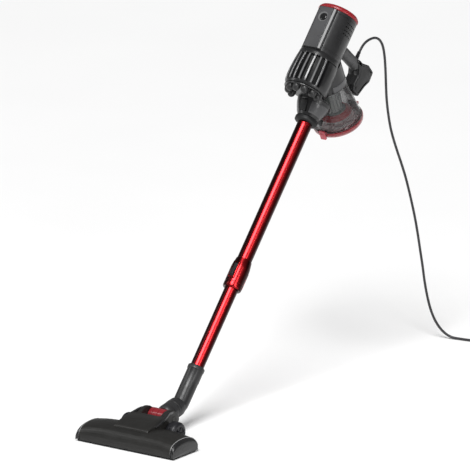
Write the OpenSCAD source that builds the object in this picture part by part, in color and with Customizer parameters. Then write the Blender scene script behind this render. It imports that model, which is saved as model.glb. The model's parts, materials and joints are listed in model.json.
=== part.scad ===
/* [Wand] */
// Lean of the wand back from the vertical, in degrees
lean = 41.2; // [39:0.1:43]
// Outside diameter of the upper tube
outer_tube_d = 35; // [34.8:0.1:35.2]
// Outside diameter of the lower tube
inner_tube_d = 32; // [31.8:0.1:32.2]
// Wall thickness of both tubes
tube_wall = 1; // [0.9:0.1:1.1]
// Length of wand between the floor head's sleeve and the hand unit
wand_length = 649; // [630:1:680]
// Length of lower tube that shows below the clamp collar
lower_tube_shown = 205; // [190:1:230]
// Length of the clamp collar
clamp_length = 76; // [72:1:80]
// Outside diameter of the clamp collar
clamp_d = 45; // [44:1:47]

/* [Floor head] */
// Width of the floor head
head_width = 276; // [270:1:290]
// Depth of the floor head, front to back
head_depth = 96; // [94:1:98]
// Height of the floor head's shell at its middle
head_height = 48; // [47:1:49]
// Height of the floor head's shell at its ends
head_end_height = 38; // [36:1:40]
// Wall thickness of the moulded shells
shell_wall = 2.6; // [2.4:0.1:2.8]
// Distance of the pivot barrel behind the middle of the sole
pivot_back = 95; // [94:1:96]
// Height of the pivot barrel's axis
pivot_height = 46; // [45:1:47]
// Radius of the pivot barrel
pivot_r = 20; // [19.5:0.5:20.5]
// Radius of the rear wheels
wheel_r = 27; // [26:0.5:27.5]

/* [Neck] */
// Rise of the lower neck above the horizontal, in degrees
neck_rise = 10; // [9:1:11]
// Length of the lower neck from the pivot to the elbow
neck_reach = 75; // [74:1:77]
// Length of the sleeve from the elbow to its mouth
sleeve_length = 98; // [96:1:100]
// Depth that the lower tube sits in the sleeve
sleeve_depth = 45; // [42:1:46]

/* [Hand unit] */
// Offset of the barrel's axis from the wand's axis
barrel_offset = 52.6; // [52:0.2:53]
// Radius of the barrel
barrel_r = 48; // [47.5:0.5:48.5]
// Height of the ribbed cover's lower end along the wand's axis
ribs_low = 48; // [48:1:49]
// Height of the ribbed cover's upper end along the wand's axis
ribs_high = 141; // [140:1:143]
// Height of the red lock ring's lower edge along the wand's axis
ring_low = 249; // [248:1:251]

/* [Dust cup] */
// Lean of the cup's axis from square to the wand, in degrees
cup_lean = 25; // [25:1:26]
// Radius of the cup's shell at the lid
cup_low_r = 58; // [57:0.5:59]
// Radius of the cup's shell at its mouth
cup_high_r = 42; // [41:0.5:42.5]
// Length of the cup's clear shell
cup_length = 96; // [94:1:97]

/* [Cord] */
// Diameter of the mains cord
cord_d = 6; // [5.5:0.5:6.5]
// Length of cord wound into the coil, in metres
coiled_length_m = 3.6; // [3.5:0.1:3.8]

/* [Hidden] */
$fn = 72;

// Gap between pieces of different bodies, and a running fit's radial gap
gap = 0.4;
running = 0.05;
// A length that carries a cutting shape past a face
past = 1;
// A length longer than any single piece, for cutting halves away
far = 400;

dark = "#3a3a3c";
black = "#1c1c1e";
mid_grey = "#5b5b5e";
pale = "#a9aaad";
red = "#9c1420";
steel = "#b8babd";

outer_r = outer_tube_d / 2;
inner_r = inner_tube_d / 2;
clamp_r = clamp_d / 2;

// The elbow is where the lower neck's axis meets the wand's axis
elbow_y = pivot_back + neck_reach * cos(neck_rise);
elbow_z = pivot_height + neck_reach * sin(neck_rise);
// The wand's own zero is the mouth of the hand unit's neck
wand_run = sleeve_length + wand_length;
wand_y = elbow_y + wand_run * sin(lean);
wand_z = elbow_z + wand_run * cos(lean);

// Heights along the wand's axis, from the neck's mouth
sleeve_top = -wand_length;
clamp_low = sleeve_top + lower_tube_shown;
tube_seat = 45;

// Frame of the wand: +Z up the wand, -Y to its upper side
module on_wand() {
  translate([0, wand_y, wand_z]) rotate([-lean, 0, 0]) children();
}

// Frame of the barrel's axis, parallel to the wand
module on_barrel() {
  on_wand() translate([0, -barrel_offset, 0]) children();
}

// Frame of the lower neck: +Z from the pivot towards the elbow, +Y down
module on_lower_neck() {
  translate([0, pivot_back, pivot_height]) rotate([neck_rise - 90, 0, 0]) children();
}

// Middle of the dust cup's lid, in the wand's frame
lid_y = 114.4;
lid_z = 62.5;

// Frame of the dust cup: zero at the lid, +Z up to the cup's mouth, +Y to the rear
module on_cup() {
  on_wand() translate([0, lid_y, lid_z]) rotate([90 - cup_lean, 0, 0]) children();
}

// Both sides of the middle plane
module both_sides() {
  children();
  mirror([1, 0, 0]) children();
}

// A tube standing on z = 0
module ring(outer, inner, height) {
  difference() {
    cylinder(r = outer, h = height);
    translate([0, 0, -past]) cylinder(r = inner, h = height + 2 * past);
  }
}

// A rod along X, centred on the middle plane
module rod_x(radius, length) {
  rotate([0, 90, 0]) cylinder(r = radius, h = length, center = true);
}

// A bar with round ends in plan, standing on z = 0 and lying along Y
module slot_bar(width, length, height) {
  linear_extrude(height) {
    translate([-width / 2, -(length - width) / 2]) square([width, length - width]);
    translate([0, (length - width) / 2]) circle(d = width);
    translate([0, -(length - width) / 2]) circle(d = width);
  }
}

// ---------- Floor head ----------

half_w = head_width / 2;
half_d = head_depth / 2;
sole_top = 5;
cap_width = 9;

// Side profile of the head's shell, (Y, Z), drawn in by a margin
module head_profile(margin, low) {
  top = head_height - margin;
  front = -half_d + margin;
  rear = half_d - margin;
  polygon([
    [front, low], [front, 28], [front + 3, 33], [front + 8, 37.5 - margin * 0.4],
    [front + 16, 42 - margin * 0.8], [front + 26, 45.4 - margin], [-10, top - 0.6],
    [2, top], [14, top - 0.6], [26, top - 3], [36, top - 7], [rear - 4, top - 12],
    [rear, top - 17], [rear, low]
  ]);
}

// Front outline of the head's shell, (X, Z), full in the middle and lower at its ends
module head_outline(margin, low) {
  x = half_w - margin;
  top = head_height - margin;
  end = head_end_height - margin;
  polygon([
    [-x, low], [-x, end - 14], [-x + 3, end - 6], [-x + 10, end - 1], [-x + 30, end + 4],
    [-x + 70, top], [x - 70, top], [x - 30, end + 4], [x - 10, end - 1], [x - 3, end - 6],
    [x, end - 14], [x, low]
  ]);
}

// The head's outer form, or its inner form when drawn in by a margin
module head_form(margin, low) {
  intersection() {
    rotate([90, 0, 90]) linear_extrude(head_width, center = true) head_profile(margin, low);
    rotate([90, 0, 0]) linear_extrude(head_depth + 2, center = true) head_outline(margin, low);
  }
}

wheel_x = 64;
wheel_y = 62;
wheel_t = 27;
bay_width = 43;
axle_r = 3;
arm_in = 27;
arm_out = 38;

// Room for a rear wheel and its tread
module wheel_room(extra) {
  translate([wheel_x, wheel_y, wheel_r]) rod_x(wheel_r + extra, wheel_t + 2 * extra);
}

module head_shell() {
  color(dark) difference() {
    union() {
      difference() {
        head_form(0, sole_top);
        head_form(shell_wall, sole_top - past);
      }
      intersection() {
        both_sides() sole_screw_places() translate([0, 0, sole_top]) cylinder(r = 4, h = 40);
        head_form(shell_wall / 2, sole_top - past);
      }
    }
    both_sides() sole_screw_places() cylinder(r = 1.6, h = 12);
    both_sides() translate([wheel_x - bay_width / 2, half_d - 15, -past])
      cube([bay_width, 40, wheel_r + 10]);
    both_sides() translate([half_w - cap_width, -far / 2, -past]) cube(far);
    translate([0, pivot_back, pivot_height]) rod_x(pivot_r + 1, 2 * arm_in);
    translate([-arm_in + 1, half_d - 10, 20]) cube([2 * arm_in - 2, 40, 60]);
    both_sides() wheel_room(1.2);
  }
}

// The two silver-edged caps that close the shell's ends
module head_end_caps() {
  color(black) both_sides() difference() {
    head_form(0, sole_top);
    translate([half_w - cap_width - far, -far / 2, -past]) cube(far);
    translate([-shell_wall, 0, 0]) intersection() {
      head_form(shell_wall, sole_top - past);
      translate([half_w - cap_width, -far / 2, -past]) cube(far);
    }
  }
}

mouth_w = 236;
mouth_y = -20;
mouth_d = 24;

module head_sole() {
  color(black) difference() {
    union() {
      translate([-half_w + 3, -half_d + 3, 0]) cube([head_width - 6, head_depth - 6, sole_top]);
      translate([-40, -6, sole_top]) cube([80, half_d - 12, 6]);
      both_sides() {
        for (side = [-1, 1]) {
          translate([wheel_x - 2.5 + side * (wheel_t / 2 + 4.5), half_d - 12, 0])
            cube([5, 32, wheel_r + 6]);
        }
      }
    }
    translate([-mouth_w / 2, mouth_y - mouth_d / 2, -past]) cube([mouth_w, mouth_d, 12]);
    both_sides() wheel_room(1.6);
    both_sides() translate([wheel_x, wheel_y, wheel_r + 0.2]) rod_x(axle_r, 60);
    both_sides() sole_screw_places() cylinder(r = 1.6, h = 20, center = true);
    both_sides() sole_screw_places() translate([0, 0, -past]) cylinder(r = 3.4, h = past + 2.4);
    for (side = [-1, 1]) {
      translate([-mouth_w / 2 - 1, mouth_y - 3 + side * (mouth_d / 2 + 5), -past])
        cube([mouth_w + 2, 6, past + 3]);
    }
  }
}

module sole_screw_places() {
  for (place = [[50, 22], [104, 30], [120, 8]]) translate([place[0], place[1], 0]) children();
}

module sole_screws() {
  color(steel) both_sides() sole_screw_places() {
    translate([0, 0, 0.5]) cylinder(r = 3, h = 1.8);
    translate([0, 0, 2.3]) cylinder(r = 1.5, h = 8);
  }
}

// A strip of bristles along each side of the suction mouth, set in the sole's grooves
module brush_strips() {
  color(red) for (side = [-1, 1]) {
    translate([-mouth_w / 2, mouth_y - 2.9 + side * (mouth_d / 2 + 5), 0.2])
      cube([mouth_w, 5.8, 1.8]);
  }
}

// The raised cover over the head's middle, with an arm each side of the pivot barrel
module head_fairing() {
  plate_half = 48;
  color(mid_grey) difference() {
    union() {
      intersection() {
        rotate([90, 0, 90]) linear_extrude(2 * plate_half, center = true) polygon([
          [-24, 40], [-24, 47.5], [-10, 52], [8, 57], [26, 61], [50, 63], [74, 62], [74, 40]
        ]);
        rotate([90, 0, 0]) linear_extrude(far, center = true) polygon([
          [-48, 30], [-48, 50], [-44, 57], [-38, 62], [-30, 64], [30, 64], [38, 62],
          [44, 57], [48, 50], [48, 30]
        ]);
      }
      both_sides() translate([arm_in, 0, 0]) rotate([90, 0, 90]) linear_extrude(arm_out - arm_in)
        polygon([
          [44, 20], [44, 62.6], [62, 64.5], [80, 66], [96, 66], [106, 62], [114, 54],
          [115, 42], [108, 32], [92, 24], [70, 20]
        ]);
      both_sides() translate([arm_in, half_d - 3, 12]) cube([arm_out - arm_in, 40, 14]);
    }
    head_form(-gap, -past);
    translate([-arm_in, 70, -past]) cube([2 * arm_in, far, far]);
    translate([0, pivot_back, pivot_height]) rod_x(pivot_r + 1.5, 2 * arm_in);
    both_sides() wheel_room(1.6);
    translate([0, pivot_back, pivot_height]) rod_x(6, far);
    rotate([90, 0, 90]) linear_extrude(2 * plate_half - 10, center = true) polygon([
      [-8, 40], [-8, 49.5], [10, 54], [28, 58], [44, 59.5], [44, 40]
    ]);
  }
}

// The steel pins that carry the pivot barrel in the fairing's arms
module barrel_pins() {
  color(steel) both_sides() translate([arm_out - 20.5, pivot_back, pivot_height])
    rotate([0, 90, 0]) cylinder(r = 6, h = 20.5);
}

module wheel(side) {
  color(black) translate([side * wheel_x, wheel_y, wheel_r + 0.2]) rotate([0, 90, 0])
    rotate_extrude() polygon([
      [axle_r + running, -wheel_t / 2 + 1], [8, -wheel_t / 2], [wheel_r - 6, -wheel_t / 2],
      [wheel_r - 2, -wheel_t / 2 + 3], [wheel_r, -wheel_t / 2 + 8],
      [wheel_r, wheel_t / 2 - 8], [wheel_r - 2, wheel_t / 2 - 3], [wheel_r - 6, wheel_t / 2],
      [8, wheel_t / 2], [axle_r + running, wheel_t / 2 - 1]
    ]);
}

module wheel_left() { wheel(-1); }
module wheel_right() { wheel(1); }

module wheel_axles() {
  color(steel) both_sides() translate([wheel_x, wheel_y, wheel_r + 0.2])
    rod_x(axle_r, wheel_t + 14);
}

// ---------- Neck ----------

spigot_r = 17.5;
duct_r = 14;
roll_low = 44;
roll_high = 64;

// The red barrel that lets the head tip, with its bore for the air
module pivot_barrel() {
  color(red) difference() {
    translate([0, pivot_back, pivot_height]) rod_x(pivot_r, 2 * arm_in - 1.6);
    on_lower_neck() translate([0, 0, -pivot_r - past]) cylinder(r = duct_r, h = 60);
    translate([0, pivot_back, pivot_height]) both_sides() translate([arm_out - 21, 0, 0])
      rotate([0, 90, 0]) cylinder(r = 6 + running, h = 40);
  }
}

// The stub that joins the barrel to the roll joint
module swivel_stub() {
  color(mid_grey) on_lower_neck() difference() {
    union() {
      cylinder(r = spigot_r + 3, h = roll_low - gap);
      cylinder(r = spigot_r, h = roll_high);
    }
    translate([0, 0, -past]) cylinder(r = duct_r, h = roll_high + 2 * past);
    rod_x(pivot_r, 80);
  }
}

module neck_elbow() {
  color(mid_grey) difference() {
    union() {
      on_lower_neck() translate([0, 0, roll_low]) cylinder(r = spigot_r + 3.4, h = 22);
      on_lower_neck() translate([0, 0, roll_low + 12]) cylinder(r = 19, h = neck_reach - roll_low - 12);
      translate([0, elbow_y, elbow_z]) sphere(r = 20);
      on_wand() translate([0, 0, sleeve_top - sleeve_length]) cylinder(r = 19, h = sleeve_length);
      on_wand() translate([0, 0, sleeve_top - 9]) cylinder(r = 20.4, h = 9);
      on_wand() translate([-7, 12, sleeve_top - 34]) cube([14, 13, 30]);
    }
    on_lower_neck() translate([0, 0, roll_low - past])
      cylinder(r = spigot_r + running, h = roll_high - roll_low + past + gap);
    on_lower_neck() translate([0, 0, roll_low]) cylinder(r = duct_r, h = neck_reach - roll_low);
    translate([0, elbow_y, elbow_z]) sphere(r = duct_r + 1);
    on_wand() translate([0, 0, sleeve_top - sleeve_length])
      cylinder(r = duct_r, h = sleeve_length + past);
    on_wand() translate([0, 0, sleeve_top - sleeve_depth])
      cylinder(r = inner_r + running, h = sleeve_depth + past);
    on_wand() translate([-5.4, 17.4, sleeve_top - 31]) cube([10.8, 20, 24]);
  }
}

// The thumb button that frees the lower tube from the sleeve
module head_release_button() {
  color(black) on_wand() translate([-5, 19.4, sleeve_top - 30.5]) cube([10, 9, 23]);
}

// ---------- Wand ----------

inner_top = clamp_low + 210;
stop_length = 8;

module inner_tube() {
  low = sleeve_top - sleeve_depth + 0.5;
  color(red) on_wand() translate([0, 0, low]) ring(inner_r, inner_r - tube_wall, inner_top - low);
}

// The ring on the lower tube's upper end, which the guide sleeve stops
module tube_stop() {
  color(black) on_wand() translate([0, 0, inner_top - stop_length - 4])
    ring(outer_r - tube_wall - 0.08, inner_r, stop_length);
}

module outer_tube() {
  low = clamp_low + 14;
  color(red) on_wand() translate([0, 0, low])
    ring(outer_r, outer_r - tube_wall, tube_seat - low - 0.5);
}

module guide_sleeve() {
  color(black) on_wand() translate([0, 0, clamp_low + 14.5])
    ring(outer_r - tube_wall, inner_r + running, 44);
}

module tube_clamp() {
  wide = clamp_length - 14;
  color(red) on_wand() difference() {
    translate([0, 0, clamp_low]) rotate_extrude() polygon([
      [0, 0], [clamp_r - 2, 0], [clamp_r, 2], [clamp_r, wide], [clamp_r - 1.5, wide + 5],
      [outer_r + 1.6, clamp_length], [0, clamp_length]
    ]);
    translate([0, 0, clamp_low - past]) cylinder(r = inner_r + 0.4, h = clamp_length);
    translate([0, 0, clamp_low + 14]) cylinder(r = outer_r, h = clamp_length);
    translate([-8, -clamp_r - 4, clamp_low + 16]) cube([16, clamp_r - outer_r + 2.6, 44]);
  }
}

// The latch slides in the clamp's window on the wand's upper side
module tube_latch() {
  color(black) on_wand() translate([0, 0, clamp_low + 24]) {
    translate([-7.6, -clamp_r - 1.4, 0]) cube([15.2, 4.6, 34]);
    translate([-6.4, -clamp_r - 5.4, 3]) cube([12.8, 4, 16]);
    translate([0, -clamp_r - 1.4, 27]) rotate([90, 0, 0]) cylinder(r = 5, h = 1.8);
  }
}

// ---------- Hand unit ----------

neck_low_r = 25;
neck_high_r = 41;
cover_r = 51;
drum_r = 43.5;
housing_wall = 3;
deck_half = 25;
deck_rise = 4;
button_z = 222;
button_low = 16;
rib_pitch = 16.2;
rib_sweep = 6.4;

// Room that the dust cup takes, grown by an extra margin
module cup_room(extra) {
  on_cup() translate([0, 0, -20])
    cylinder(r1 = cup_low_r + extra + 4, r2 = cup_high_r + extra, h = cup_length + 28);
}

// The duct from the neck to the dust cup, along the wand's axis
module duct_path(radius) {
  on_wand() translate([0, 0, ribs_low]) cylinder(r = radius, h = 32);
}

module neck_ring() {
  color(black) on_wand() translate([0, 0, -6]) rotate_extrude() polygon([
    [outer_r + running, 0], [24.6, 0], [27.4, 3], [27.4, 11], [25, 13.6], [outer_r + running, 13.6]
  ]);
}

// The cone that takes the wand and leads the air up to the dust cup
module inlet_neck() {
  color(dark) difference() {
    union() {
      on_wand() difference() {
        translate([0, 0, 8]) cylinder(r1 = neck_low_r, r2 = neck_high_r, h = ribs_low - 8);
        translate([0, 0, 12])
          cylinder(r1 = neck_low_r - 3, r2 = neck_high_r - 3.4, h = ribs_low - 8);
      }
      on_wand() translate([0, 0, 8]) cylinder(r = outer_r + 3, h = ribs_low - 8);
      on_wand() translate([-10, 22, button_low - 3]) cube([20, 28, 16]);
    }
    on_wand() translate([0, 0, 7]) cylinder(r = outer_r + running, h = tube_seat - 7);
    on_wand() cylinder(r = 15, h = 80);
    cup_room(2);
    on_wand() translate([-7, 42, button_low - 0.4]) cube([14, 20, 7.2]);
    on_wand() translate([-8, -neck_high_r - 4, 14]) cube([16, neck_high_r - outer_r + 1, 26]);
    both_sides() neck_panel_form(0.1);
  }
}

// A pale panel that wraps one side of the neck cone, sunk into it
module neck_panel_form(extra) {
  on_wand() intersection() {
    difference() {
      translate([0, 0, 8]) cylinder(r1 = neck_low_r + 0.6, r2 = neck_high_r + 0.6, h = ribs_low - 8);
      translate([0, 0, 8])
        cylinder(r1 = neck_low_r - 1.6 - extra, r2 = neck_high_r - 1.6 - extra, h = ribs_low - 8);
    }
    translate([12 - extra, -30 - extra, 13 - extra])
      cube([60, 50 + 2 * extra, 29 + 2 * extra]);
  }
}

module neck_panels() {
  color(pale) difference() {
    both_sides() neck_panel_form(0);
    cup_room(2);
  }
}

module wand_release_button() {
  color(black) on_wand() intersection() {
    translate([-7.6, -neck_high_r - 1, 14.5]) cube([15.2, 18, 25]);
    translate([0, 0, 8]) cylinder(r1 = neck_low_r + 3, r2 = neck_high_r + 3, h = ribs_low - 8);
  }
}

// The dished plate between the neck and the barrel
module mid_frame() {
  color(dark) difference() {
    on_wand() translate([0, 0, ribs_low]) linear_extrude(4) {
      circle(r = neck_high_r);
      translate([0, -barrel_offset]) circle(r = cover_r - 1);
      polygon([
        [-neck_high_r + 1, 0], [neck_high_r - 1, 0], [cover_r - 4, -barrel_offset],
        [-cover_r + 4, -barrel_offset]
      ]);
    }
    cup_room(2);
    on_wand() cylinder(r = 17.5, h = 80);
    cone_places() translate([0, 0, ribs_low - past]) cylinder(r = cone_r + 0.2, h = 8);
    on_barrel() translate([0, 0, ribs_low - past]) cylinder(r = 20, h = 8);
  }
}

module inlet_duct() {
  color(black) difference() {
    duct_path(17.3);
    duct_path(15);
    on_wand() cylinder(r = 15, h = 100);
    on_cup() translate([0, 0, 0]) cylinder(r = 45.2, h = 160);
  }
}

cone_r = 9.6;

// Places of the small cyclone cones round the barrel's upper side
module cone_places() {
  for (step = [-3:3]) {
    on_barrel() rotate([0, 0, step * 33]) translate([0, -37, 0]) children();
  }
}

// The small cyclones, each a hollow cup with a rounded foot below the plate
module cyclone_cones() {
  foot = 34;
  color(mid_grey) cone_places() rotate_extrude() polygon([
    [0, foot], [3.2, foot + 0.6], [6, foot + 2.3], [8.2, foot + 5], [cone_r - 0.3, foot + 8],
    [cone_r, foot + 11], [cone_r, ribs_low + 4], [cone_r - 1.8, ribs_low + 4],
    [cone_r - 1.8, foot + 10], [0, foot + 3]
  ]);
}

// The dark drum behind the ribs
module cyclone_can() {
  color(black) difference() {
    on_barrel() translate([0, 0, ribs_low + 4.2])
      ring(drum_r, drum_r - 2.4, ribs_high - ribs_low - 6);
    cup_collar_room();
    on_wand() cylinder(r = 17.6, h = 100);
  }
}

// A stretch of ring about the barrel's axis, centred on the upper side
module upper_arc(turn, sweep) {
  rotate([0, 0, turn - 90 - sweep / 2]) rotate_extrude(angle = sweep) children();
}

// The slotted cover: its slots leave ribs over the barrel's upper half
module cyclone_cover() {
  color(mid_grey) on_barrel() difference() {
    upper_arc(0, 196) polygon([
      [drum_r + 0.2, ribs_low + 4.4], [cover_r - 4, ribs_low + 4.4],
      [cover_r - 0.6, ribs_low + 8], [cover_r + 1.5, ribs_low + 14],
      [cover_r + 2.4, ribs_low + 26], [cover_r + 1.6, ribs_low + 50],
      [cover_r - 0.6, ribs_high - 12], [barrel_r + 0.8, ribs_high - 0.4],
      [drum_r + 0.2, ribs_high - 0.4]
    ]);
    for (slot = [-4:4]) upper_arc(slot * rib_pitch, rib_pitch - rib_sweep) polygon([
      [drum_r - 1, ribs_low + 10], [cover_r + 6, ribs_low + 10],
      [cover_r + 6, ribs_high - 12], [drum_r - 1, ribs_high - 12]
    ]);
  }
}

// Smooth covers over the barrel's lower sides, each side of the dust cup's collar
module side_covers() {
  color(dark) difference() {
    on_barrel() both_sides() rotate([0, 0, 8.4]) rotate_extrude(angle = 60) polygon([
      [drum_r + 0.2, ribs_low + 5], [cover_r - 2, ribs_low + 5], [cover_r + 0.6, ribs_low + 14],
      [cover_r + 0.6, ribs_high - 30], [barrel_r + 0.8, ribs_high - 0.2],
      [drum_r + 0.2, ribs_high - 0.2]
    ]);
    cup_room(2);
    cup_collar_room();
    on_wand() cylinder(r = 17.6, h = 100);
  }
}

module motor_housing() {
  color(dark) on_barrel() difference() {
    translate([0, 0, ribs_high]) cylinder(r = barrel_r, h = ring_low - ribs_high - gap);
    translate([0, 0, ribs_high + 5]) cylinder(r = barrel_r - housing_wall, h = far);
    translate([0, 0, ribs_high - past]) cylinder(r = 22, h = 10);
    translate([-8.5, -barrel_r - past, button_z - 8.5]) cube([17, 16, 17]);
    for (row = [0:3]) {
      for (side = [-1, 1]) {
        for (turn = [-2:2]) {
          translate([0, 0, ribs_high + 62 + row * 9])
            rotate([0, 0, side * 90 + turn * 9 + 90])
              translate([barrel_r - 8, -2.2, 0]) cube([16, 4.4, 3]);
        }
      }
    }
  }
}

// The flat raised deck along the barrel's upper side
module deck_panel() {
  color(pale) on_barrel() difference() {
    translate([0, 0, ribs_high + 1]) linear_extrude(ring_low - ribs_high - 2) polygon([
      [-deck_half - 3, -36], [-deck_half - 3, -43], [-deck_half + 2, -barrel_r - 1],
      [-deck_half + 5, -barrel_r - deck_rise], [deck_half - 6, -barrel_r - deck_rise],
      [deck_half, -barrel_r + 1], [deck_half, -36]
    ]);
    translate([0, 0, ribs_high]) cylinder(r = barrel_r + 0.05, h = far);
    translate([0, 0, button_z]) rotate([90, 0, 0]) cylinder(r = 9.2, h = 80);
    translate([0, -barrel_r - deck_rise, button_z]) rotate([90, 0, 0])
      cylinder(r = 11, h = 2.4, center = true);
  }
}

module power_button() {
  color(pale) on_barrel() translate([0, -barrel_r - 2, button_z]) rotate([90, 0, 0])
    cylinder(r = 8.8, h = deck_rise - 0.6);
  color(pale) on_barrel() translate([0, -barrel_r + 8, button_z]) rotate([90, 0, 0])
    cylinder(r = 3, h = 10.1);
}

// The switch under the power button, on its small circuit board
module switch_body() {
  color(black) on_barrel() {
    translate([-6, -barrel_r + 10.4, button_z - 6]) cube([12, 5, 12]);
    translate([-11, -barrel_r + 15.4, button_z - 24]) cube([22, 1.6, 30]);
  }
}

motor_low = 158;
motor_r = 30;

module motor_can() {
  color(steel) on_barrel() translate([0, 0, motor_low]) difference() {
    union() {
      ring(motor_r, motor_r - 1.6, 52);
      ring(motor_r, 4.4, 2);
      translate([0, 0, 50]) ring(motor_r, 4.4, 2);
      translate([0, 0, 2]) ring(7, 4.4, 4);
      translate([0, 0, 46]) ring(7, 4.4, 4);
    }
    for (turn = [0:5]) rotate([0, 0, turn * 60]) translate([18, -4, -past]) cube([8, 8, 4]);
  }
}

// Rubber rings that hold the motor in the housing
module motor_mounts() {
  color(black) on_barrel() for (low = [motor_low + 4, motor_low + 40]) {
    translate([0, 0, low]) difference() {
      ring(barrel_r - housing_wall, motor_r, 8);
      for (turn = [0:7]) rotate([0, 0, turn * 45]) translate([37.5, 0, -past]) cylinder(r = 4, h = 12);
      translate([-15, -barrel_r, -past]) cube([30, 17.5, 12]);
    }
  }
}

module motor_rotor() {
  color(steel) on_barrel() {
    translate([0, 0, motor_low - 7]) cylinder(r = 4.35, h = 61);
    translate([0, 0, motor_low + 8]) cylinder(r = 20, h = 34);
  }
}

module impeller() {
  color(mid_grey) on_barrel() translate([0, 0, motor_low - 11]) difference() {
    union() {
      cylinder(r = 32, h = 1.2);
      cylinder(r = 8, h = 9);
      for (turn = [0:8]) rotate([0, 0, turn * 40]) translate([6, -0.7, 0]) cube([25, 1.4, 8]);
    }
    translate([0, 0, 4]) cylinder(r = 4.35, h = 8);
  }
}

cap_r = 42.5;

module lock_ring() {
  color(red) on_barrel() translate([0, 0, ring_low]) rotate_extrude() polygon([
    [cap_r + 0.4, 0], [barrel_r - 0.4, 0], [barrel_r + 0.6, 1.5], [barrel_r + 0.6, 6],
    [barrel_r - 1.4, 9.4], [cap_r + 1.4, 11], [cap_r + 0.4, 11]
  ]);
}

// The domed end cap, pierced with vents
module exhaust_cap() {
  color(mid_grey) on_barrel() translate([0, 0, ring_low]) difference() {
    rotate_extrude() polygon([
      [0, 9], [34, 7.4], [39, 0], [cap_r, 0], [cap_r, 9.6], [34, 12.4], [20, 14], [0, 14.6]
    ]);
    for (line = [-3:3]) {
      translate([line * 8 - 1.6, -(28 - abs(line) * 3), 0]) cube([3.2, 56 - abs(line) * 6, 20]);
    }
  }
}

module exhaust_filter() {
  color(pale) on_barrel() translate([0, 0, ring_low - 20]) difference() {
    cylinder(r = 34, h = 26);
    translate([0, 0, -past]) cylinder(r = 14, h = 20);
  }
}

// Room for the collar that takes the dust cup's mouth
module cup_collar_room() {
  on_cup() translate([0, 0, cup_length + 8]) cylinder(r = 45.4, h = 60);
}

module cup_collar() {
  color(dark) difference() {
    on_cup() translate([0, 0, cup_length + 8 + gap]) difference() {
      cylinder(r = 45, h = 56);
      translate([0, 0, -past]) cylinder(r = cup_high_r + 0.6, h = 9);
      translate([0, 0, 11]) cylinder(r = 39, h = 60);
      cylinder(r = 20, h = 30);
    }
    on_barrel() translate([0, 0, ribs_high - 0.4]) cylinder(r = barrel_r + 0.2, h = far);
    on_barrel() translate([0, 0, -far / 2]) cylinder(r = drum_r - 2.4, h = far);
    on_barrel() translate([0, -far - 1, 0]) cube([far, 2 * far, 2 * far], center = true);
    duct_path(17.4);
    saddle_panel_form(0.1);
    mirror([1, 0, 0]) saddle_panel_form(0.1);
  }
}

// A pale panel on the collar's side
module saddle_panel_form(extra) {
  on_cup() intersection() {
    translate([0, 0, cup_length + 12]) difference() {
      cylinder(r = 46, h = 30);
      cylinder(r = 43.4 - extra, h = 30);
    }
    translate([16, -30 - extra, cup_length + 11 - extra]) cube([60, 58 + 2 * extra, 15 + 2 * extra]);
  }
}

module saddle_panels() {
  color(pale) difference() {
    both_sides() saddle_panel_form(0);
    on_barrel() translate([0, 0, -far / 2]) cylinder(r = cover_r + 1, h = far);
  }
}

// ---------- Dust cup ----------

cup_low = 8.2;
cup_wall = 2.5;
mouth_z = cup_length + 8;
mouth_top = mouth_z + 6.4;
hinge_y = 65;
hinge_z = 8;
hinge_pin_r = 1.5;
latch_y = -62.5;
latch_z = 14;

// The clear cup, a cone that is open at both ends, with lugs for the lid and its latch
module dust_cup() {
  color([0.6, 0.62, 0.62, 0.5]) on_cup() difference() {
    union() {
      rotate_extrude() polygon([
        [cup_low_r - cup_wall, cup_low], [cup_low_r + 1.6, cup_low], [cup_low_r + 1.6, cup_low + 3],
        [cup_low_r, cup_low + 4.4], [cup_high_r, mouth_z - 2], [cup_high_r, mouth_top],
        [cup_high_r - cup_wall, mouth_top], [cup_high_r - cup_wall, mouth_z - 2]
      ]);
      translate([0, hinge_y, hinge_z]) rod_x(4.5, 16);
      translate([-8, cup_low_r - 1, hinge_z + 0.4]) cube([16, hinge_y - cup_low_r + 1, 4]);
      both_sides() translate([8.6, latch_y - 3, latch_z - 4]) cube([2.6, 10, 8]);
    }
    translate([0, hinge_y, hinge_z]) rod_x(hinge_pin_r, 60);
    translate([0, latch_y, latch_z]) rod_x(1.5 + running, 60);
    translate([0, 0, cup_low - past])
      cylinder(r1 = cup_low_r - cup_wall, r2 = cup_high_r - cup_wall, h = mouth_z - cup_low);
  }
}

module cup_seal() {
  color(black) on_cup() translate([0, 0, mouth_top])
    ring(cup_high_r - 0.2, cup_high_r - cup_wall + 0.2, 1.2);
}

module cup_lid() {
  color([0.65, 0.15, 0.18, 0.6]) on_cup() difference() {
    union() {
      rotate_extrude() polygon([
        [0, -4.6], [30, -4], [50, -2.4], [57, 0], [60.6, 3], [60.6, 7.8], [58.4, 7.8], [58.4, 3.4],
        [54.6, 2], [54.6, 8], [52.6, 8], [52.6, 0.4], [30, -1.4], [0, -2]
      ]);
      rotate_extrude() polygon([
        [52.6, 6], [54.6, 6], [54.6, 8.4], [53.4, 12], [52.6, 12]
      ]);
      both_sides() translate([8.4, 0, 0]) {
        translate([0, 58, 2]) cube([7, 7, 4]);
        translate([0, hinge_y, hinge_z]) rotate([0, 90, 0]) cylinder(r = 4.5, h = 7);
      }
    }
    translate([0, hinge_y, hinge_z]) rod_x(hinge_pin_r + running, 60);
    translate([-8.4, 59, 2]) cube([16.8, 4, 8]);
  }
}

module lid_seal() {
  color(black) on_cup() translate([0, 0, 8.5]) ring(54.9, 54.6, 1.6);
}

module lid_hinge_pin() {
  color(steel) on_cup() translate([0, hinge_y, hinge_z]) rod_x(hinge_pin_r, 33);
}

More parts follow.
